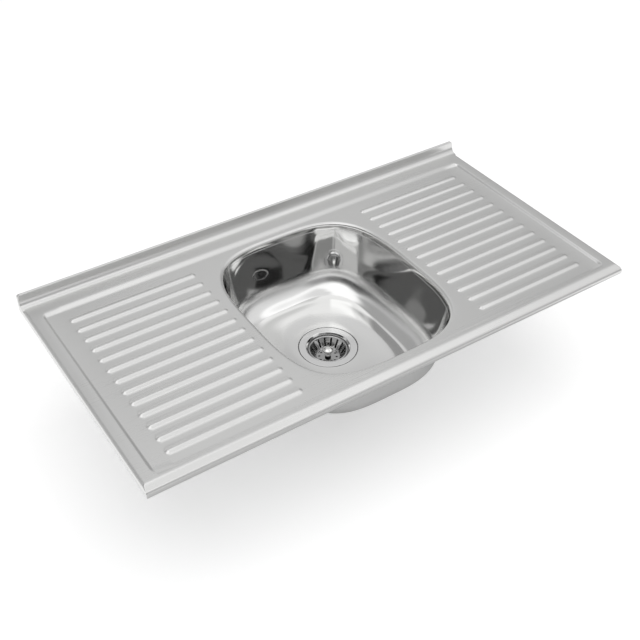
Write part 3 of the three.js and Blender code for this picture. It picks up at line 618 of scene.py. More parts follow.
def bowl_rings(top, bowl):
    """Rings from the weld to the drain seat. The wall leans by its angle, the fillet turns on
    from there to the floor's fall, and the floor runs in to a circle round the waste, its
    height falling with the S-curve of the way."""
    weld_level, start = weld_place(top, bowl)
    floor = top.rim_level - bowl.depth
    lean, radius = bowl.wall_angle, bowl.floor_radius
    wall_end = floor + radius * (1 - math.sin(lean))
    floor_inset = start + (weld_level - wall_end) * math.tan(lean) + radius * math.cos(lean)
    unit = unit_plan(bowl, on_circle(np.linspace(0, 2 * np.pi, 240, endpoint=False)))
    rings = []
    for z in (weld_level, *np.linspace(weld_level - EDGE, wall_end, 7)):
        rings.append(bowl_ring(bowl, unit, start + (weld_level - z) * math.tan(lean), z))
    for turn in np.linspace(lean, math.pi / 2, 19)[1:]:
        rings.append(bowl_ring(bowl, unit, floor_inset - radius * math.cos(turn),
                               floor + radius * (1 - math.sin(turn))))
    edge = rings[-1][:, :2]
    way = on_circle(np.arctan2(edge[:, 1] - WASTE[1], edge[:, 0] - WASTE[0]))
    margin, bend = 2 * MM, 1.4 * MM     # of the sinking's edge
    circle = WASTE + (bowl.seat_radius + margin) * way
    for t in np.linspace(0, 1, 11)[1:]:
        rings.append(at_level(edge + (circle - edge) * t, floor - bowl.floor_fall * smooth(t)))
    drain = floor - bowl.floor_fall
    seat = drain - bowl.seat_drop
    profile = rounded([
        (bowl.seat_radius + margin, drain, 0), (bowl.seat_radius, drain, bend),
        (bowl.seat_radius, seat, bend), (bowl.drain_hole, seat, 0),
    ], steps=4, closed=False)[1:]
    rings += [at_level(WASTE + across * way, z) for across, z in profile]
    return np.stack(rings)


# --- Stiffeners ---

def channel_patch(low, high):
    """A hat-shaped channel between the corners of a box: its outer face is a profile with round
    bends, carried along Y."""
    wide, crown, under = (high[0] - low[0]) / 2, low[2], high[2] - CHANNEL_STEEL
    half, at_foot, at_crown = wide - CHANNEL_FLANGE, 1.2 * MM, 2.2 * MM
    profile = rounded([
        (-wide, under, 0), (-half, under, at_foot), (-half, crown, at_crown),
        (half, crown, at_crown), (half, under, at_foot), (wide, under, 0),
    ], steps=5, closed=False)
    x, y = np.meshgrid((low[0] + high[0]) / 2 + profile[:, 0], np.linspace(low[1], high[1], 9))
    z = np.broadcast_to(profile[:, 1], x.shape)
    return np.stack([x, y, z], axis=-1), grid_quads(*x.shape)[:, ::-1]


# --- The waste ---

def waste_levels(top, strainer, basket):
    """Heights of the waste's pieces, worked down from the flange's upper face."""
    z = {"flange": FLANGE_HIGH[2]}
    z["flange_under"] = z["flange"] - strainer.flange_steel
    z["seat"] = z["flange_under"] - strainer.seal_thickness - 2 * GAP
    z["ledge"] = z["flange"] - strainer.ledge_drop
    z["stop"] = z["flange"] - strainer.cup_depth
    z["neck_end"] = z["stop"] - strainer.neck_length
    z["gasket"] = z["seat"] - top.sheet - GAP
    z["fibre"] = z["gasket"] - strainer.gasket_thickness - GAP
    z["locknut"] = z["fibre"] - strainer.fibre_thickness - GAP
    z["rim"] = z["ledge"] + GAP
    z["basket"] = z["rim"] - basket.depth
    z["knob"] = z["flange"] - KNOB_DROP
    z["stem"] = z["knob"] - basket.knob_head
    z["seal"] = z["stop"] + GAP
    z["plate"] = z["seal"] + STOPPER + GAP
    z["stem_end"] = z["seal"] - STEM_TAIL
    z["washer"] = z["neck_end"] - GAP
    z["tail"] = z["washer"] - WASHER - GAP
    return z


def turned_piece(corners, steps=128, closed=True):
    """A profile with round corners turned round the waste's axis."""
    return turned(rounded(corners, steps=4, closed=closed), steps, closed)


def threaded(points, radius, low, high):
    """Cuts a thread into the points near a radius: each moves in by the thread's depth times
    (1 - cos(2 pi (height / pitch - turn))) / 2, which fades out at both ends."""
    from_x, from_y = points[..., 0] - WASTE[0], points[..., 1] - WASTE[1]
    height, across = points[..., 2], np.hypot(from_x, from_y)
    fade = np.clip(np.minimum(height - low, high - height) / THREAD_PITCH, 0, 1)
    turn = np.arctan2(from_y, from_x) / (2 * np.pi)
    wave = (1 - np.cos(2 * np.pi * (height / THREAD_PITCH - turn))) / 2
    cut = np.where(np.abs(across - radius) < 0.05 * MM, THREAD_DEPTH * wave * fade, 0)
    scale = 1 - cut / np.maximum(across, MM)
    return np.stack([WASTE[0] + from_x * scale, WASTE[1] + from_y * scale, height], axis=-1)


def strainer_patch(strainer, z):
    """The flanged cup and neck as one closed turned profile with two threads."""
    inner = strainer.cup - strainer.ledge
    land, wall = strainer.mouth + strainer.land, strainer.cup_wall
    cone = z["stop"] + strainer.cup_cone
    thread_end = z["flange"] - strainer.thread_drop
    shoulder = z["flange_under"] - strainer.bevel_drop
    profile = rounded([
        (strainer.mouth, z["neck_end"], ROUND), (strainer.neck, z["neck_end"], ROUND),
        (strainer.neck, z["stop"] - wall, 1.5 * MM), (land + wall, z["stop"] - wall, 2.5 * MM),
        (inner + wall, cone, 5 * MM), (inner + wall, thread_end, ROUND),
        (strainer.thread, thread_end, ROUND), (strainer.thread, shoulder, MM),
        (strainer.bevel + strainer.flange_steel, z["flange_under"], MM),
        (strainer.flange, z["flange_under"], ROUND), (strainer.flange, z["flange"], ROUND),
        (strainer.bevel, z["flange"], 1.6 * MM),
        (strainer.cup, z["flange"] - strainer.bevel_drop, 1.6 * MM),
        (strainer.cup, z["ledge"], ROUND), (inner, z["ledge"], 0.8 * MM), (inner, cone, 5 * MM),
        (land, z["stop"], 2 * MM), (strainer.mouth, z["stop"], MM),
    ], steps=5)
    profile = filled(np.concatenate([profile, profile[:1]]), 0.5 * MM)
    points, quads = turned(profile, 144)
    points = threaded(points, strainer.thread, thread_end, shoulder)
    return threaded(points, strainer.neck, z["neck_end"], z["stop"] - 3 * MM), quads


def lugged(count, radius, reach, width, edge):
    """A round plan with straight-sided lugs, as (x, y, corner radius) rows."""
    turn = 2 * np.pi / count
    root, tip = math.asin(width / 2 / radius), math.asin(width / 2 / (radius + reach))
    angle = np.concatenate([[-root, -tip, tip, root],
                            np.linspace(root, turn - root, 8)[1:-1]])
    far, soft = np.full((2, len(angle)), ((radius,), (0.0,)))
    far[1:3], soft[:4] = radius + reach, edge
    whole = (np.arange(count)[:, None] * turn + angle).ravel()
    return np.column_stack([np.tile(far, count)[:, None] * on_circle(whole),
                            np.tile(soft, count)])


def polygon(sides, radius, edge):
    """A regular polygon's corners, as (x, y, corner radius) rows."""
    angle = (np.arange(sides) + 0.5) * 2 * np.pi / sides
    return np.column_stack([radius * on_circle(angle), np.full(sides, edge)])


def nut_patch(corners, outside, bore, widest):
    """A body between a plan outline and a round bore. Each outside row is the outline drawn in
    by an inset at a height, each bore row a circle at a height; together they close."""
    plan = rounded(corners, steps=4)
    plan = filled(np.concatenate([plan, plan[:1]]), widest)[:-1]
    length = np.linalg.norm(plan, axis=1)[:, None]
    way = plan / length
    rings = [at_level(way * (length - inset), z) for inset, z in outside]
    rings += [at_level(way * radius, z) for radius, z in bore]
    rings = np.stack(rings + rings[:1]) + (*WASTE, 0)
    return rings, grid_quads(len(rings), len(plan), closed=True)


def bevelled(low, high, edge):
    """Insets and heights of a nut's outside, with its edges drawn in along a quarter circle."""
    turn = np.linspace(0, np.pi / 2, 4)
    inset, rise = edge * (1 - np.sin(turn)), edge * (1 - np.cos(turn))
    return ([(i, low + r) for i, r in zip(inset, rise)]
            + [(i, high - r) for i, r in zip(inset[::-1], rise[::-1])])


def stem_hole(basket):
    """Radius of the holes that the stem runs through."""
    return basket.stem + GAP


def sector_steps(lines, sectors):
    """How many lines each of the grid's lines lies from the middle of its sector."""
    sector = lines // sectors
    return (np.arange(lines) + sector // 2) % sector - sector // 2


def basket_wall(strainer, basket, z, lines):
    """The basket's wall and rim: a turned profile in which the grid lines beside each slot
    bow out to the slot's edge. At a distance s from the slot's middle, its half width is the
    full one, and within a half width of its ends sqrt(1 - s^2) of it."""
    rim = strainer.cup - basket.clearance
    bend = rounded([(0, z["basket"], 0), (basket.floor, z["basket"], 2.5 * MM),
                    (rim - basket.rim, z["rim"], 1.2 * MM), (rim, z["rim"], 0)],
                   steps=6, closed=False)
    foot, head = bend[7], bend[8]
    slant = np.linalg.norm(head - foot)
    half, margin = basket.slot_width / 2, 1.6 * MM
    reach = slant / 2 - margin
    tips = reach - half * (1 - np.sin(np.linspace(0, np.pi / 2, 6)))
    s = np.concatenate([-tips[::-1], np.linspace(-tips[0], tips[0], 6)[1:-1], tips])
    straight = foot + (head - foot) * ((s + slant / 2) / slant)[:, None]
    profile = np.concatenate([bend[1:8], straight, bend[8:]])
    along = np.pad(np.abs(s), (7, 8), constant_values=np.inf)
    width = half * np.sqrt(1 - np.clip((along - (reach - half)) / half, 0, 1) ** 2)
    in_reach = along <= reach + 1e-9
    step = sector_steps(lines, basket.slots)
    even = step * 2 * np.pi / lines
    bowed = np.sign(step) * (width / profile[:, 0])[:, None]
    in_slot = in_reach[:, None] & (np.abs(step) == 1)
    angle = np.arange(lines) * 2 * np.pi / lines + np.where(in_slot, bowed - even, 0)
    quads = grid_quads(len(profile), lines, closed=True)
    row, column = np.divmod(quads[:, 0], lines)
    open_slot = in_reach[row] & in_reach[row + 1] & np.isin(step[column], (-1, 0))
    return round_waste(profile[:, :1], angle, profile[:, 1:]), quads[~open_slot], bend[1, 0]


def basket_floor(basket, z, lines, outer):
    """The basket's floor: a disc in which a square of grid cells round each hole's middle is
    left out, and its border drawn on to the hole's circle. Rings of cells out to twice the
    square's size pass over from the circle to the plain grid."""
    core, reach = 3, 6      # cells from a hole's middle to the square's and the last ring's edge
    cell = basket.hole_circle * 2 * np.pi / lines
    near = basket.hole_circle + cell * np.arange(-reach, reach + 1)
    radius = np.concatenate([np.linspace(stem_hole(basket), near[0], 8)[:-1], near,
                             np.linspace(near[-1], outer, 4)[1:]])
    step = sector_steps(lines, basket.holes)
    turn = np.arange(lines) * 2 * np.pi / lines
    centre = basket.hole_circle * on_circle(turn - step * 2 * np.pi / lines)
    away = radius[:, None, None] * on_circle(turn) - centre
    level = (radius - basket.hole_circle) / cell
    square = np.maximum(np.abs(level)[:, None], np.abs(step))[..., None]
    pull = np.clip((reach - square) / (reach - core), 0, 1) * (square >= core - 0.001)
    length = np.maximum(np.linalg.norm(away, axis=-1, keepdims=True), 1e-9)
    drawn = away / length * basket.hole * (square / core)
    plan = centre + away * (1 - pull) + drawn * pull + WASTE
    points = np.concatenate([plan, np.full((*plan.shape[:2], 1), z["basket"])], axis=-1)
    quads = grid_quads(len(radius), lines, closed=True)
    row, column = np.divmod(quads[:, 0], lines)
    in_hole = np.maximum(np.abs(level[row]), np.abs(level[row + 1])) < core + 0.01
    in_hole &= (step[column] >= -core) & (step[column] < core)
    return points, quads[~in_hole]


def basket_patches(strainer, basket, z):
    """Floor and wall of the perforated basket, which share their outline."""
    lines = int(np.lcm(basket.slots, basket.holes))
    lines *= max(1, round(160 / lines))
    wall, wall_quads, outer = basket_wall(strainer, basket, z, lines)
    floor, floor_quads = basket_floor(basket, z, lines, outer)
    return [(wall, wall_quads), (floor, floor_quads)]


def knob_patch(basket, z):
    """A mushroom-shaped knob with a waist, closed over the stem."""
    top, low = z["knob"], z["knob"] - basket.knob_height
    head, bore = top - basket.knob_head, stem_hole(basket)
    return turned_piece([
        (0, z["stem"] + GAP, 0), (bore, z["stem"] + GAP, 0), (bore, low, ROUND),
        (basket.knob_waist + 1.5 * MM, low, ROUND), (basket.knob_waist, low + 3 * MM, 2 * MM),
        (basket.knob_waist, head - 2 * MM, 3 * MM), (basket.knob, head + MM, MM),
        (basket.knob, top - 2.6 * MM, 2.5 * MM), (basket.knob * 0.5, top - 0.15 * MM, 6 * MM),
        (0, top, 0),
    ], closed=False)


def stem_patch(basket, z):
    """The stem, with round ends."""
    return turned_piece([(0, z["stem_end"], 0), (basket.stem, z["stem_end"], 1.5 * MM),
                         (basket.stem, z["stem"], 0.5 * MM), (0, z["stem"], 0)],
                        steps=48, closed=False)


def grip_patch(basket, z):
    """The rubber ring round the stem, of round section."""
    section = 1.3 * MM
    middle = (stem_hole(basket) + section, z["basket"] + basket.steel + GAP + section)
    turn = np.linspace(0, 2 * np.pi, 20, endpoint=False)
    return turned(middle + section * on_circle(turn), 64, closed=True)


# --- Shader nodes ---

def put(value, socket):
    """Links a socket given as the value to another one, or sets a plain value."""
    if isinstance(value, bpy.types.NodeSocket):
        socket.id_data.links.new(value, socket)
    else:
        socket.default_value = value


def add(tree, kind, *values, operation=None, **sockets):
    """A node, with values for its first inputs in their order and for inputs by name."""
    node = tree.nodes.new("ShaderNode" + kind)
    if operation:
        node.operation = operation
    for value, socket in zip(values, node.inputs):
        put(value, socket)
    for name, value in sockets.items():
        put(value, node.inputs[name.replace("_", " ")])
    return node


def combined(tree, operation, *values):
    """The result of one Math node."""
    return add(tree, "Math", *values, operation=operation).outputs[0]


def ramp(tree, value, low, high, span=(0.0, 1.0)):
    """Maps a value linearly from its span to low and high."""
    return add(tree, "MapRange", value, *span, low, high).outputs["Result"]


def blend(tree, share_of_second, first, second):
    """first + (second - first) times the share."""
    node = add(tree, "Mix", share_of_second)
    for value, socket in zip((first, second), node.inputs[2:4]):
        put(value, socket)
    return node.outputs[0]


def noise(tree, place, scale, stretch=(1, 1, 1), detail=2.0, roughness=0.5):
    """Noise of object coordinates, finer along an axis with a larger stretch."""
    stretched = add(tree, "Mapping", Vector=place, Scale=stretch).outputs["Vector"]
    return add(tree, "TexNoise", Vector=stretched, Scale=scale, Detail=detail,
               Roughness=roughness).outputs["Fac"]


def roughen(tree, shader, height, strength, distance, **sockets):
    """A bump on a shader, from a height and over another bump if one is given as Normal."""
    bump = add(tree, "Bump", Height=height, Strength=strength, Distance=distance, **sockets)
    put(bump.outputs["Normal"], shader.inputs["Normal"])


def shades(tree, shader, share_of_second, dark, light):
    """A shader's colour runs between a darker and a lighter shade of the one that it has."""
    base = shader.inputs["Base Color"]
    first, second = ([*(min(factor * c, 1) for c in base.default_value[:3]), 1]
                     for factor in (dark, light))
    put(add(tree, "MixRGB", share_of_second, first, second).outputs["Color"], base)


# --- Finishes ---

def new_material(name, colour, metal):
    """A material, its node tree, its shader and object coordinates."""
    material = bpy.data.materials.new(name)
    material.use_nodes = True
    tree = material.node_tree
    shader = tree.nodes["Principled BSDF"]
    put((*colour, 1), shader.inputs["Base Color"])
    put(metal, shader.inputs["Metallic"])
    return material, tree, shader, add(tree, "TexCoord").outputs["Object"]


def satin_steel(sink, tree, shader, place):
    """Brushed stainless sheet: fine scratches along X in bump and gloss, faint cloudiness. The
    collar round the opening is as bright as the bowl's walls."""
    base, field = sink.finishes.satin_roughness, sink.top.rim_level - sink.top.field_drop
    brushing = noise(tree, place, 1.0, (9, 1400, 1400), 3.0, 0.6)
    clouds = noise(tree, place, 7.0, (0.5, 1, 1), 2.0)
    gloss = combined(tree, "ADD", ramp(tree, brushing, -0.05, 0.05),
                     ramp(tree, clouds, base - 0.03, base + 0.03, (0.3, 0.7)))
    x, y, height = add(tree, "SeparateXYZ", place).outputs
    collar = ramp(tree, height, 1.0, 0.0, (field - 5 * MM, field - 2 * MM))
    for along, limit in ((x, 0.44), (y, 0.225)):    # the folded edges lie as low, further out
        distance = combined(tree, "ABSOLUTE", along)
        inside = ramp(tree, distance, 1.0, 0.0, (limit, limit + 10 * MM))
        collar = combined(tree, "MULTIPLY", collar, inside)
    put(blend(tree, collar, gloss, sink.finishes.bowl_roughness), shader.inputs["Roughness"])
    roughen(tree, shader, brushing, ramp(tree, collar, 0.12, 0.0), 0.00004)


def bowl_steel(sink, tree, shader, place):
    """Drawn stainless: bright walls with faint upright drawing marks, a satin floor."""
    finishes, radius = sink.finishes, sink.bowl.floor_radius
    floor = sink.top.rim_level - sink.bowl.depth
    height = add(tree, "SeparateXYZ", place).outputs["Z"]
    marks = noise(tree, place, 1.0, (260, 260, 12), 3.0, 0.55)
    dents = noise(tree, place, 9.0, (1, 1, 0.7), 1.0)
    satin = ramp(tree, height, finishes.floor_roughness, finishes.bowl_roughness,
                 (floor, floor + radius))
    rise = ramp(tree, height, 0.0, 0.17, (floor + 2 * MM, floor + 0.3 * radius))
    fall = ramp(tree, height, 1.0, 0.0, (floor + 0.7 * radius, floor + radius))
    gloss = combined(tree, "ADD", satin, combined(tree, "MULTIPLY", rise, fall))
    put(gloss, shader.inputs["Roughness"])
    waves = add(tree, "Bump", Height=dents, Strength=0.35, Distance=0.0016)
    roughen(tree, shader, marks, 0.05, 0.00003, Normal=waves.outputs["Normal"])


def polished_steel(sink, tree, shader, place):
    """Polished stainless with fine wiping marks."""
    marks = noise(tree, place, 900.0, detail=3.0)
    put(ramp(tree, marks, 0.06, 0.16, (0.3, 0.7)), shader.inputs["Roughness"])


def pressed_steel(sink, tree, shader, place):
    """Polished stainless with painted shade: its colour darkens with depth below the flange,
    standing in for the shade inside the waste.
    """
    below = sink.level["flange"] - MM
    height = add(tree, "SeparateXYZ", place).outputs["Z"]
    # painted shade: the colour falls from 0.78 at a millimetre under the flange to 0.42 five
    # millimetres lower
    put(ramp(tree, height, 0.42, 0.78, (below - 5 * MM, below)), shader.inputs["Base Color"])
    polished_steel(sink, tree, shader, place)


def galvanised_steel(sink, tree, shader, place):
    """Zinc-coated steel: spangle cells of slightly different grey and gloss."""
    cells = add(tree, "TexVoronoi", Vector=place, Scale=140.0).outputs["Color"]
    grey = add(tree, "SeparateColor", cells).outputs["Red"]
    shades(tree, shader, grey, 0.88, 1.1)
    put(ramp(tree, grey, 0.36, 0.54), shader.inputs["Roughness"])


def cast_zinc(sink, tree, shader, place):
    """Tumbled and plated casting: an even fine grain."""
    grain = noise(tree, place, 1600.0)
    put(ramp(tree, grain, 0.32, 0.5, (0.3, 0.7)), shader.inputs["Roughness"])
    roughen(tree, shader, grain, 0.25, 0.00008)


def matt_finish(sink, tree, shader, place, roughness, scale, depth):
    """A matt, grained material: fine noise in bump and in a slight change of shade."""
    put(roughness, shader.inputs["Roughness"])
    grain = noise(tree, place, scale, detail=4.0, roughness=0.6)
    shades(tree, shader, ramp(tree, grain, 0, 1, (0.3, 0.7)), 0.82, 1.15)
    roughen(tree, shader, grain, 0.4, depth)


# The material's name, colour and metallic value, what adds its texture, and, where that is
# matt_finish, its roughness, the scale of its grain and the depth of the grain's bump
FINISHES = {
    "satin_steel": ("satin_stainless", "satin_steel", 1.0, satin_steel),
    "bowl_steel": ("drawn_stainless", "bowl_steel", 1.0, bowl_steel),
    "polished_steel": ("polished_stainless", "polished_steel", 1.0, polished_steel),
    # polished stainless with painted shade inside the cup and the basket
    "pressed_steel": ("pressed_stainless", "polished_steel", 1.0, pressed_steel),
    "galvanised_steel": ("galvanised_steel", "galvanised", 1.0, galvanised_steel),
    "plated_zinc": ("plated_casting", "zinc", 1.0, cast_zinc),
    "bitumen_felt": ("bitumen_felt", "bitumen", 0.0, matt_finish, 0.9, 700.0, 0.0002),
    "black_rubber": ("moulded_rubber", "rubber", 0.0, matt_finish, 0.7, 900.0, 0.00006),
    "grey_foam": ("closed_cell_foam", "foam", 0.0, matt_finish, 0.9, 1100.0, 0.00012),
    "fibre_card": ("pressed_fibre", "fibre", 0.0, matt_finish, 0.85, 500.0, 0.0001),
    "white_plastic": ("moulded_plastic", "plastic", 0.0, matt_finish, 0.38, 350.0, 0.00003),
}


# --- Operators ---

class SinkOperator:
    """Common part of the operators: the scene's settings, finishes and pieces."""
    bl_options = {"REGISTER", "UNDO"}

    def execute(self, context):
        for place in GROUPS:
            setattr(self, place.removeprefix("sink_"), getattr(context.scene, place))
        self.level = waste_levels(self.top, self.strainer, self.basket)
        self.build()
        return {"FINISHED"}

    def finish(self, kind):
        """The material of a kind of finish, made when it is first used."""
        name, colour, metal, texture, *numbers = FINISHES[kind]
        material = bpy.data.materials.get(name)
        if material is None:
            material, *parts = new_material(name, getattr(self.finishes, colour), metal)
            texture(self, *parts, *numbers)
        return material

    def piece(self, name, node, slot, patches, body="sink", finish=None, wall=0.0, sharp=35.0):
        """A piece with the finish of its slot, unless another is named."""
        make_piece(name, patches, self.finish(finish or slot), body, node, wall, sharp)

    def ring(self, name, node, slot, inner, outer, low, high, edge, body="sink"):
        """A ring of rectangular section with its edges rounded."""
        self.piece(name, node, slot, [turned_piece([
            (inner, low, edge), (outer, low, edge), (outer, high, edge), (inner, high, edge),
        ])], body)


class SINK_OT_top_sheet(SinkOperator, bpy.types.Operator):
    """Builds the pressed top sheet with drainboards, upstand, lip and folded edges"""
    bl_idname = "sink.top_sheet"
    bl_label = "Top sheet"

    def build(self):
        self.piece("top_sheet", "drainer_top", "satin_steel",
                   top_sheet_patches(self.top, self.bowl), wall=self.top.sheet, sharp=40)


class SINK_OT_bowl(SinkOperator, bpy.types.Operator):
    """Builds the drawn bowl with its drain seat"""
    bl_idname = "sink.bowl"
    bl_label = "Bowl"

    def build(self):
        rings = bowl_rings(self.top, self.bowl)
        self.piece("drawn_bowl", "bowl", "bowl_steel",
                   [(rings, grid_quads(*rings.shape[:2], closed=True))],
                   wall=self.top.sheet, sharp=50)


class SINK_OT_stiffeners(SinkOperator, bpy.types.Operator):
    """Builds the channels, and finishes the corner gussets and the damping pads"""
    bl_idname = "sink.stiffeners"
    bl_label = "Stiffeners and pads"

    def build(self):
        for side in ("left", "right"):
            for place in ("inner", "outer"):
                low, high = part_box(f"{place}_channel_{side}")
                self.piece(f"{place}_stiffener_{side}", f"{place}_channel_{side}",
                           "galvanised_steel", [channel_patch(low, high)], wall=CHANNEL_STEEL)
            for edge in ("front", "back"):
                dress_node(f"gusset_{edge}_{side}", self.finish("galvanised_steel"))
            for place in ("wall", "floor"):
                dress_node(f"{place}_pad_{side}", self.finish("bitumen_felt"))


class SINK_OT_waste(SinkOperator, bpy.types.Operator):
    """Builds the strainer body and what clamps and seals it"""
    bl_idname = "sink.waste"
    bl_label = "Waste"

    def build(self):
        strainer, z, stem = self.strainer, self.level, self.basket.stem
        thread, bore = strainer.thread + GAP, strainer.thread + MM
        cushion_bore, outer, below_stop = 46 * MM, 56 * MM, 7 * MM
        self.piece("strainer_cup", "strainer_body", "polished_steel",
                   [strainer_patch(strainer, z)], finish="pressed_steel")
        low = z["seat"] + GAP
        self.ring("flange_cushion", "flange_seal", "grey_foam",
                  cushion_bore, strainer.seal, low, low + strainer.seal_thickness, 0.6 * MM)
        self.ring("bowl_gasket", "under_gasket", "black_rubber",
                  bore, outer, z["gasket"] - strainer.gasket_thickness, z["gasket"], 0.8 * MM)
        self.ring("fibre_washer", "friction_ring", "fibre_card",
                  bore, outer, z["fibre"] - strainer.fibre_thickness, z["fibre"], 0.2 * MM)
        low, high, edge = z["locknut"] - strainer.locknut_height, z["locknut"], 1.2 * MM
        self.piece("lugged_nut", "locknut", "plated_zinc", [nut_patch(
            lugged(strainer.lugs, strainer.locknut, strainer.lug_reach, strainer.lug_width,
                   edge),
            bevelled(low, high, edge),
            [(thread + MM, high), (thread, high - MM), (thread, low + MM), (thread + MM, low)],
            3 * MM)])
        high, edge = z["stop"] - below_stop, 0.6 * MM
        low, hub, reach, arm = high - 3 * MM, stem + 4 * MM, 11.6 * MM, 3 * MM
        self.piece("stem_guide", "outlet_spider", "polished_steel", [nut_patch(
            lugged(4, hub, reach, arm, edge), bevelled(low, high, edge),
            [(stem + MM, high), (stem + MM, low)], 2 * MM)])


class SINK_OT_basket(SinkOperator, bpy.types.Operator):
    """Builds the lift-out basket, its knob and the stopper"""
    bl_idname = "sink.basket"
    bl_label = "Basket and stopper"

    def build(self):
        basket, z, bore = self.basket, self.level, stem_hole(self.basket)
        self.piece("lift_basket", "basket", "polished_steel",
                   basket_patches(self.strainer, basket, z), "strainer_basket",
                   finish="pressed_steel", wall=basket.steel)
        self.piece("grip_ring", "stem_ring", "black_rubber", [grip_patch(basket, z)],
                   "strainer_basket")
        self.piece("basket_knob", "strainer_knob", "polished_steel", [knob_patch(basket, z)],
                   "stopper")
        self.piece("knob_stem", "stopper_stem", "polished_steel", [stem_patch(basket, z)],
                   "stopper")
        self.ring("backing_disc", "stopper_plate", "polished_steel",
                  bore, basket.plate, z["plate"], z["plate"] + MM, 0.25 * MM, "stopper")
        self.ring("stopper_disc", "stopper_seal", "black_rubber",
                  bore, basket.stopper, z["seal"], z["seal"] + STOPPER, MM, "stopper")
        high = z["seal"] - GAP
        low = high - 4.5 * MM
        self.piece("stem_hexagon", "stem_nut", "polished_steel", [nut_patch(
            polygon(6, basket.nut, 0.4 * MM), bevelled(low, high, 0.5 * MM),
            [(bore, high), (bore, low)], MM)], "stopper")


class SINK_OT_outlet(SinkOperator, bpy.types.Operator):
    """Builds the tailpiece, its washer and the slip nut"""
    bl_idname = "sink.outlet"
    bl_label = "Outlet"

    def build(self):
        strainer, z, slot = self.strainer, self.level, "white_plastic"
        inner, outer, flange = strainer.tail - strainer.tail_wall, strainer.tail, 1.5 * MM
        end, under = z["tail"] - strainer.tail_length, z["tail"] - flange
        self.piece("tail_tube", "tailpiece", slot, [turned_piece([
            (inner, end, ROUND), (outer, end, ROUND), (outer, under, 0.8 * MM),
            (strainer.tail_flange, under, ROUND), (strainer.tail_flange, z["tail"], ROUND),
            (inner, z["tail"], ROUND)])])
        self.ring("tail_washer", "tailpiece_washer", slot, strainer.mouth,
                  strainer.tail_flange, z["washer"] - WASHER, z["washer"], 0.5 * MM)
        ledge = under - GAP     # of the slip nut, under the tailpiece's flange
        low, collar, neck = ledge - 3 * MM, outer + GAP, strainer.neck + GAP
        high = low + strainer.slip_nut_height
        self.piece("tail_nut", "slip_nut", slot, [nut_patch(
            polygon(8, strainer.slip_nut, 4 * MM), bevelled(low, high, 1.5 * MM),
            [(neck + MM, high), (neck, high - MM), (neck, low + 3 * MM),
             (collar, low + 3 * MM), (collar, low)], 2 * MM)])


# --- The studio ---

def facing(tree, way, azimuth):
    """How far a direction, laid level, points to an azimuth, counted in degrees clockwise from
    the back: the cosine of the angle between them."""
    turn = math.radians(azimuth)
    level = add(tree, "VectorMath", way, (1, 1, 0), operation="MULTIPLY").outputs["Vector"]
    unit = add(tree, "VectorMath", level, operation="NORMALIZE").outputs["Vector"]
    return add(tree, "VectorMath", unit, (math.sin(turn), math.cos(turn), 0),
               operation="DOT_PRODUCT").outputs["Value"]


def panel(tree, way, height, azimuth, half_width, low, high, soft):
    """1 where a direction meets a studio panel: within half_width degrees of an azimuth and
    between the elevations low and high, with soft edges, soft degrees wide."""
    def edge(elevation, below, above):
        """Passes from one value to another round an elevation."""
        span = [math.sin(math.radians(elevation + turn)) for turn in (-soft / 2, soft / 2)]
        return ramp(tree, height, below, above, span)

    mask = edge(low, 0.0, 1.0)
    if high < 90:
        mask = combined(tree, "MULTIPLY", mask, edge(high, 1.0, 0.0))
    if half_width < 180:
        span = [math.cos(math.radians(half_width + turn)) for turn in (soft, -soft)]
        mask = combined(tree, "MULTIPLY", mask,
                        ramp(tree, facing(tree, way, azimuth), 0.0, 1.0, span))
    return mask


# Azimuth clockwise from the back and half width, lower and upper elevation, width of the soft
# edge, all in degrees, and brightness
PANELS = (
    (10, 30, -20, 31, 6, 0.78),
    (64, 24, -20, 29, 6, 0.42),
    (112, 42, 28, 60, 10, 0.88),
    (142, 20, -20, 27, 6, 0.52),
    (57, 9, 30, 46, 8, 0.55),
    (228, 62, -20, 26, 5, 1.0),
    (232, 72, 27, 52, 4, 0.33),
    (252, 52, 27, 53, 4, 0.15),
    (268, 26, 28, 41, 4, 0.02),
    (0, 180, 56, 90, 4, 1.3),
    (95, 62, 66, 86, 8, 0.88),
    (245, 35, 57, 66, 5, 1.6),
    (346, 28, 33, 59, 5, 0.42),
)
# Coordinate, the values at which the grey card begins and ends, and its share there
CARD_EDGES = (("X", (-0.55, -0.45), 0.0, 1.0), ("X", (0.70, 0.80), 1.0, 0.0),
              ("Y", (0.30, 0.40), 1.0, 0.0))


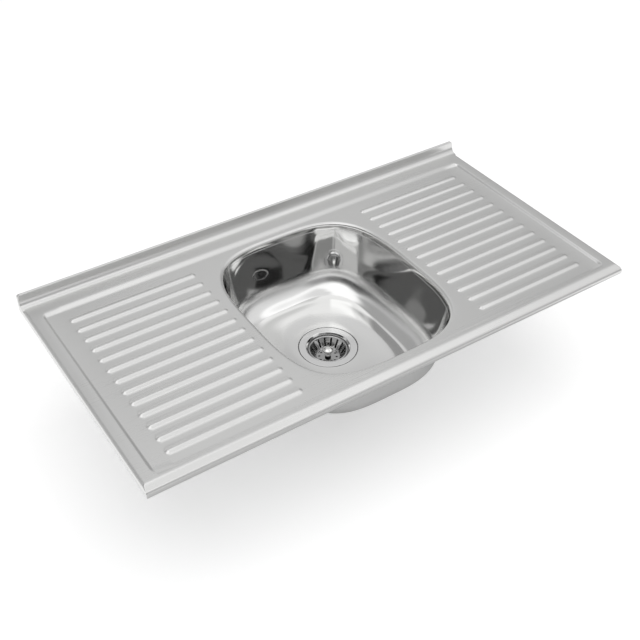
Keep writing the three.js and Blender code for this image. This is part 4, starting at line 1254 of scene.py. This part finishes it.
class SINK_OT_studio(SinkOperator, bpy.types.Operator):
    """Sets the floor, the light and the camera"""
    bl_idname = "sink.studio"
    bl_label = "Studio"

    def build(self):
        self.make_floor(self.studio.floor_level)
        self.make_world()
        self.make_lamp()
        self.make_camera(self.studio)

    def make_floor(self, z):
        """White paper, clear from below, and on it, shown only in metal, a grey card before and
        under the sink."""
        half, paper, card_grey, paper_glow, card_glow = 6.0, 0.82, 0.48, 0.34, 0.12
        mesh = bpy.data.meshes.new("studio_floor")
        mesh.from_pydata([(-half, -half, z), (half, -half, z), (half, half, z), (-half, half, z)],
                         [], [(0, 1, 2, 3)])
        floor = new_object("studio_floor", mesh)
        material, tree, shader, place = new_material("studio_paper", (0.8, 0.8, 0.8), 0.0)
        put(0.9, shader.inputs["Roughness"])
        rays = add(tree, "LightPath").outputs
        axes = add(tree, "SeparateXYZ", place).outputs
        card = rays["Is Glossy Ray"]
        for axis, span, below, above in CARD_EDGES:
            card = combined(tree, "MULTIPLY", card, ramp(tree, axes[axis], below, above, span))
        in_studio = combined(tree, "MAXIMUM", rays["Is Camera Ray"], rays["Is Glossy Ray"])
        in_studio = combined(tree, "MAXIMUM", in_studio, rays["Is Transmission Ray"])
        glow = combined(tree, "MULTIPLY", in_studio, ramp(tree, card, paper_glow, card_glow))
        put(ramp(tree, card, paper, card_grey), shader.inputs["Base Color"])
        put((1, 1, 1, 1), shader.inputs["Emission Color"])
        put(glow, shader.inputs["Emission Strength"])
        sides = add(tree, "MixShader", add(tree, "NewGeometry").outputs["Backfacing"],
                    shader.outputs[0], add(tree, "BsdfTransparent").outputs[0])
        put(sides.outputs[0], tree.nodes["Material Output"].inputs["Surface"])
        mesh.materials.append(material)

    def make_world(self):
        """White for the camera, even for matt surfaces. Metal sees a studio: a bright ceiling,
        pale walls, paler higher up, and the panels of PANELS."""
        world = bpy.data.worlds.new("studio_world")
        bpy.context.scene.world = world
        world.use_nodes = True
        world.cycles.sampling_method = "NONE"
        tree = world.node_tree
        way = add(tree, "TexCoord").outputs["Generated"]
        height = add(tree, "SeparateXYZ", way).outputs["Z"]
        metal = ramp(tree, height, 0.60, 0.80, (0.55, 0.82))
        for *shape, strength in PANELS:
            metal = blend(tree, panel(tree, way, height, *shape), metal, strength)
        rays = add(tree, "LightPath").outputs
        mirrored = blend(tree, rays["Is Glossy Ray"], 0.75, metal)
        background = tree.nodes["Background"]
        put((1, 1, 1, 1), background.inputs["Color"])
        put(blend(tree, rays["Is Camera Ray"], mirrored, 1.0), background.inputs["Strength"])

    def make_lamp(self):
        """One wide soft panel overhead, a little in front and to the left, for matt surfaces
        and the shadow on the floor."""
        height, across, along, brightness = 2.4, 1.28, 1.14, 1.1
        light = bpy.data.lights.new("overhead_panel", "AREA")
        light.shape = "RECTANGLE"
        light.size, light.size_y = across * height, along * height
        light.energy = brightness * math.pi * light.size * light.size_y
        lamp = new_object("overhead_panel", light)
        lamp.location = (-0.06 * height, -0.30 * height, height)
        lamp.visible_camera = False
        lamp.visible_glossy = False

    def make_camera(self, studio):
        """The photograph's camera: turned by its yaw, pitched down, then rolled."""
        yaw, pitch, roll = studio.camera_yaw, studio.camera_pitch, studio.camera_roll
        ahead = Vector((-math.sin(yaw) * math.cos(pitch), math.cos(yaw) * math.cos(pitch),
                        -math.sin(pitch)))
        level = Vector((math.cos(yaw), math.sin(yaw), 0))
        upright = level.cross(ahead)
        right = math.cos(roll) * level + math.sin(roll) * upright
        up = -math.sin(roll) * level + math.cos(roll) * upright
        data = bpy.data.cameras.new("photo_camera")
        data.sensor_width = 36.0
        data.lens = studio.lens
        camera = new_object("photo_camera", data)
        turn = Matrix((right, up, -ahead)).transposed().to_4x4()
        camera.matrix_world = Matrix.Translation(Vector(studio.camera_place)) @ turn
        bpy.context.scene.camera = camera
        bpy.context.scene.view_settings.view_transform = "Standard"


class SINK_PT_panel(bpy.types.Panel):
    """Lists the operators and the sizes"""
    bl_idname = "SINK_PT_panel"
    bl_label = "Kitchen sink"
    bl_space_type = "VIEW_3D"
    bl_region_type = "UI"
    bl_category = "Sink"

    def draw(self, context):
        for operator in OPERATORS:
            self.layout.operator(operator.bl_idname)
        for place in GROUPS:
            group, box = getattr(context.scene, place), self.layout.box()
            for name in group.__annotations__:
                box.prop(group, name)


OPERATORS = (
    SINK_OT_studio, SINK_OT_top_sheet, SINK_OT_bowl, SINK_OT_stiffeners, SINK_OT_waste,
    SINK_OT_basket, SINK_OT_outlet,
)
GROUPS = {
    "sink_top": SinkTopSizes,
    "sink_bowl": SinkBowlSizes,
    "sink_strainer": SinkStrainerSizes,
    "sink_basket": SinkBasketSizes,
    "sink_finishes": SinkFinishes,
    "sink_studio": SinkStudio,
}
CLASSES = (*GROUPS.values(), *OPERATORS, SINK_PT_panel)


def register():
    """Makes the groups of sizes, the operators and the panel known to Blender."""
    for kind in CLASSES:
        bpy.utils.register_class(kind)
    for name, group in GROUPS.items():
        setattr(bpy.types.Scene, name, PointerProperty(type=group))


def unregister():
    """Undoes register, in the opposite order."""
    for name in GROUPS:
        delattr(bpy.types.Scene, name)
    for kind in reversed(CLASSES):
        bpy.utils.unregister_class(kind)


def main():
    """Builds everything with the operators."""
    register()
    for operator in OPERATORS:
        family, name = operator.bl_idname.split(".")
        getattr(getattr(bpy.ops, family), name)()


if __name__ == "__main__":
    main()
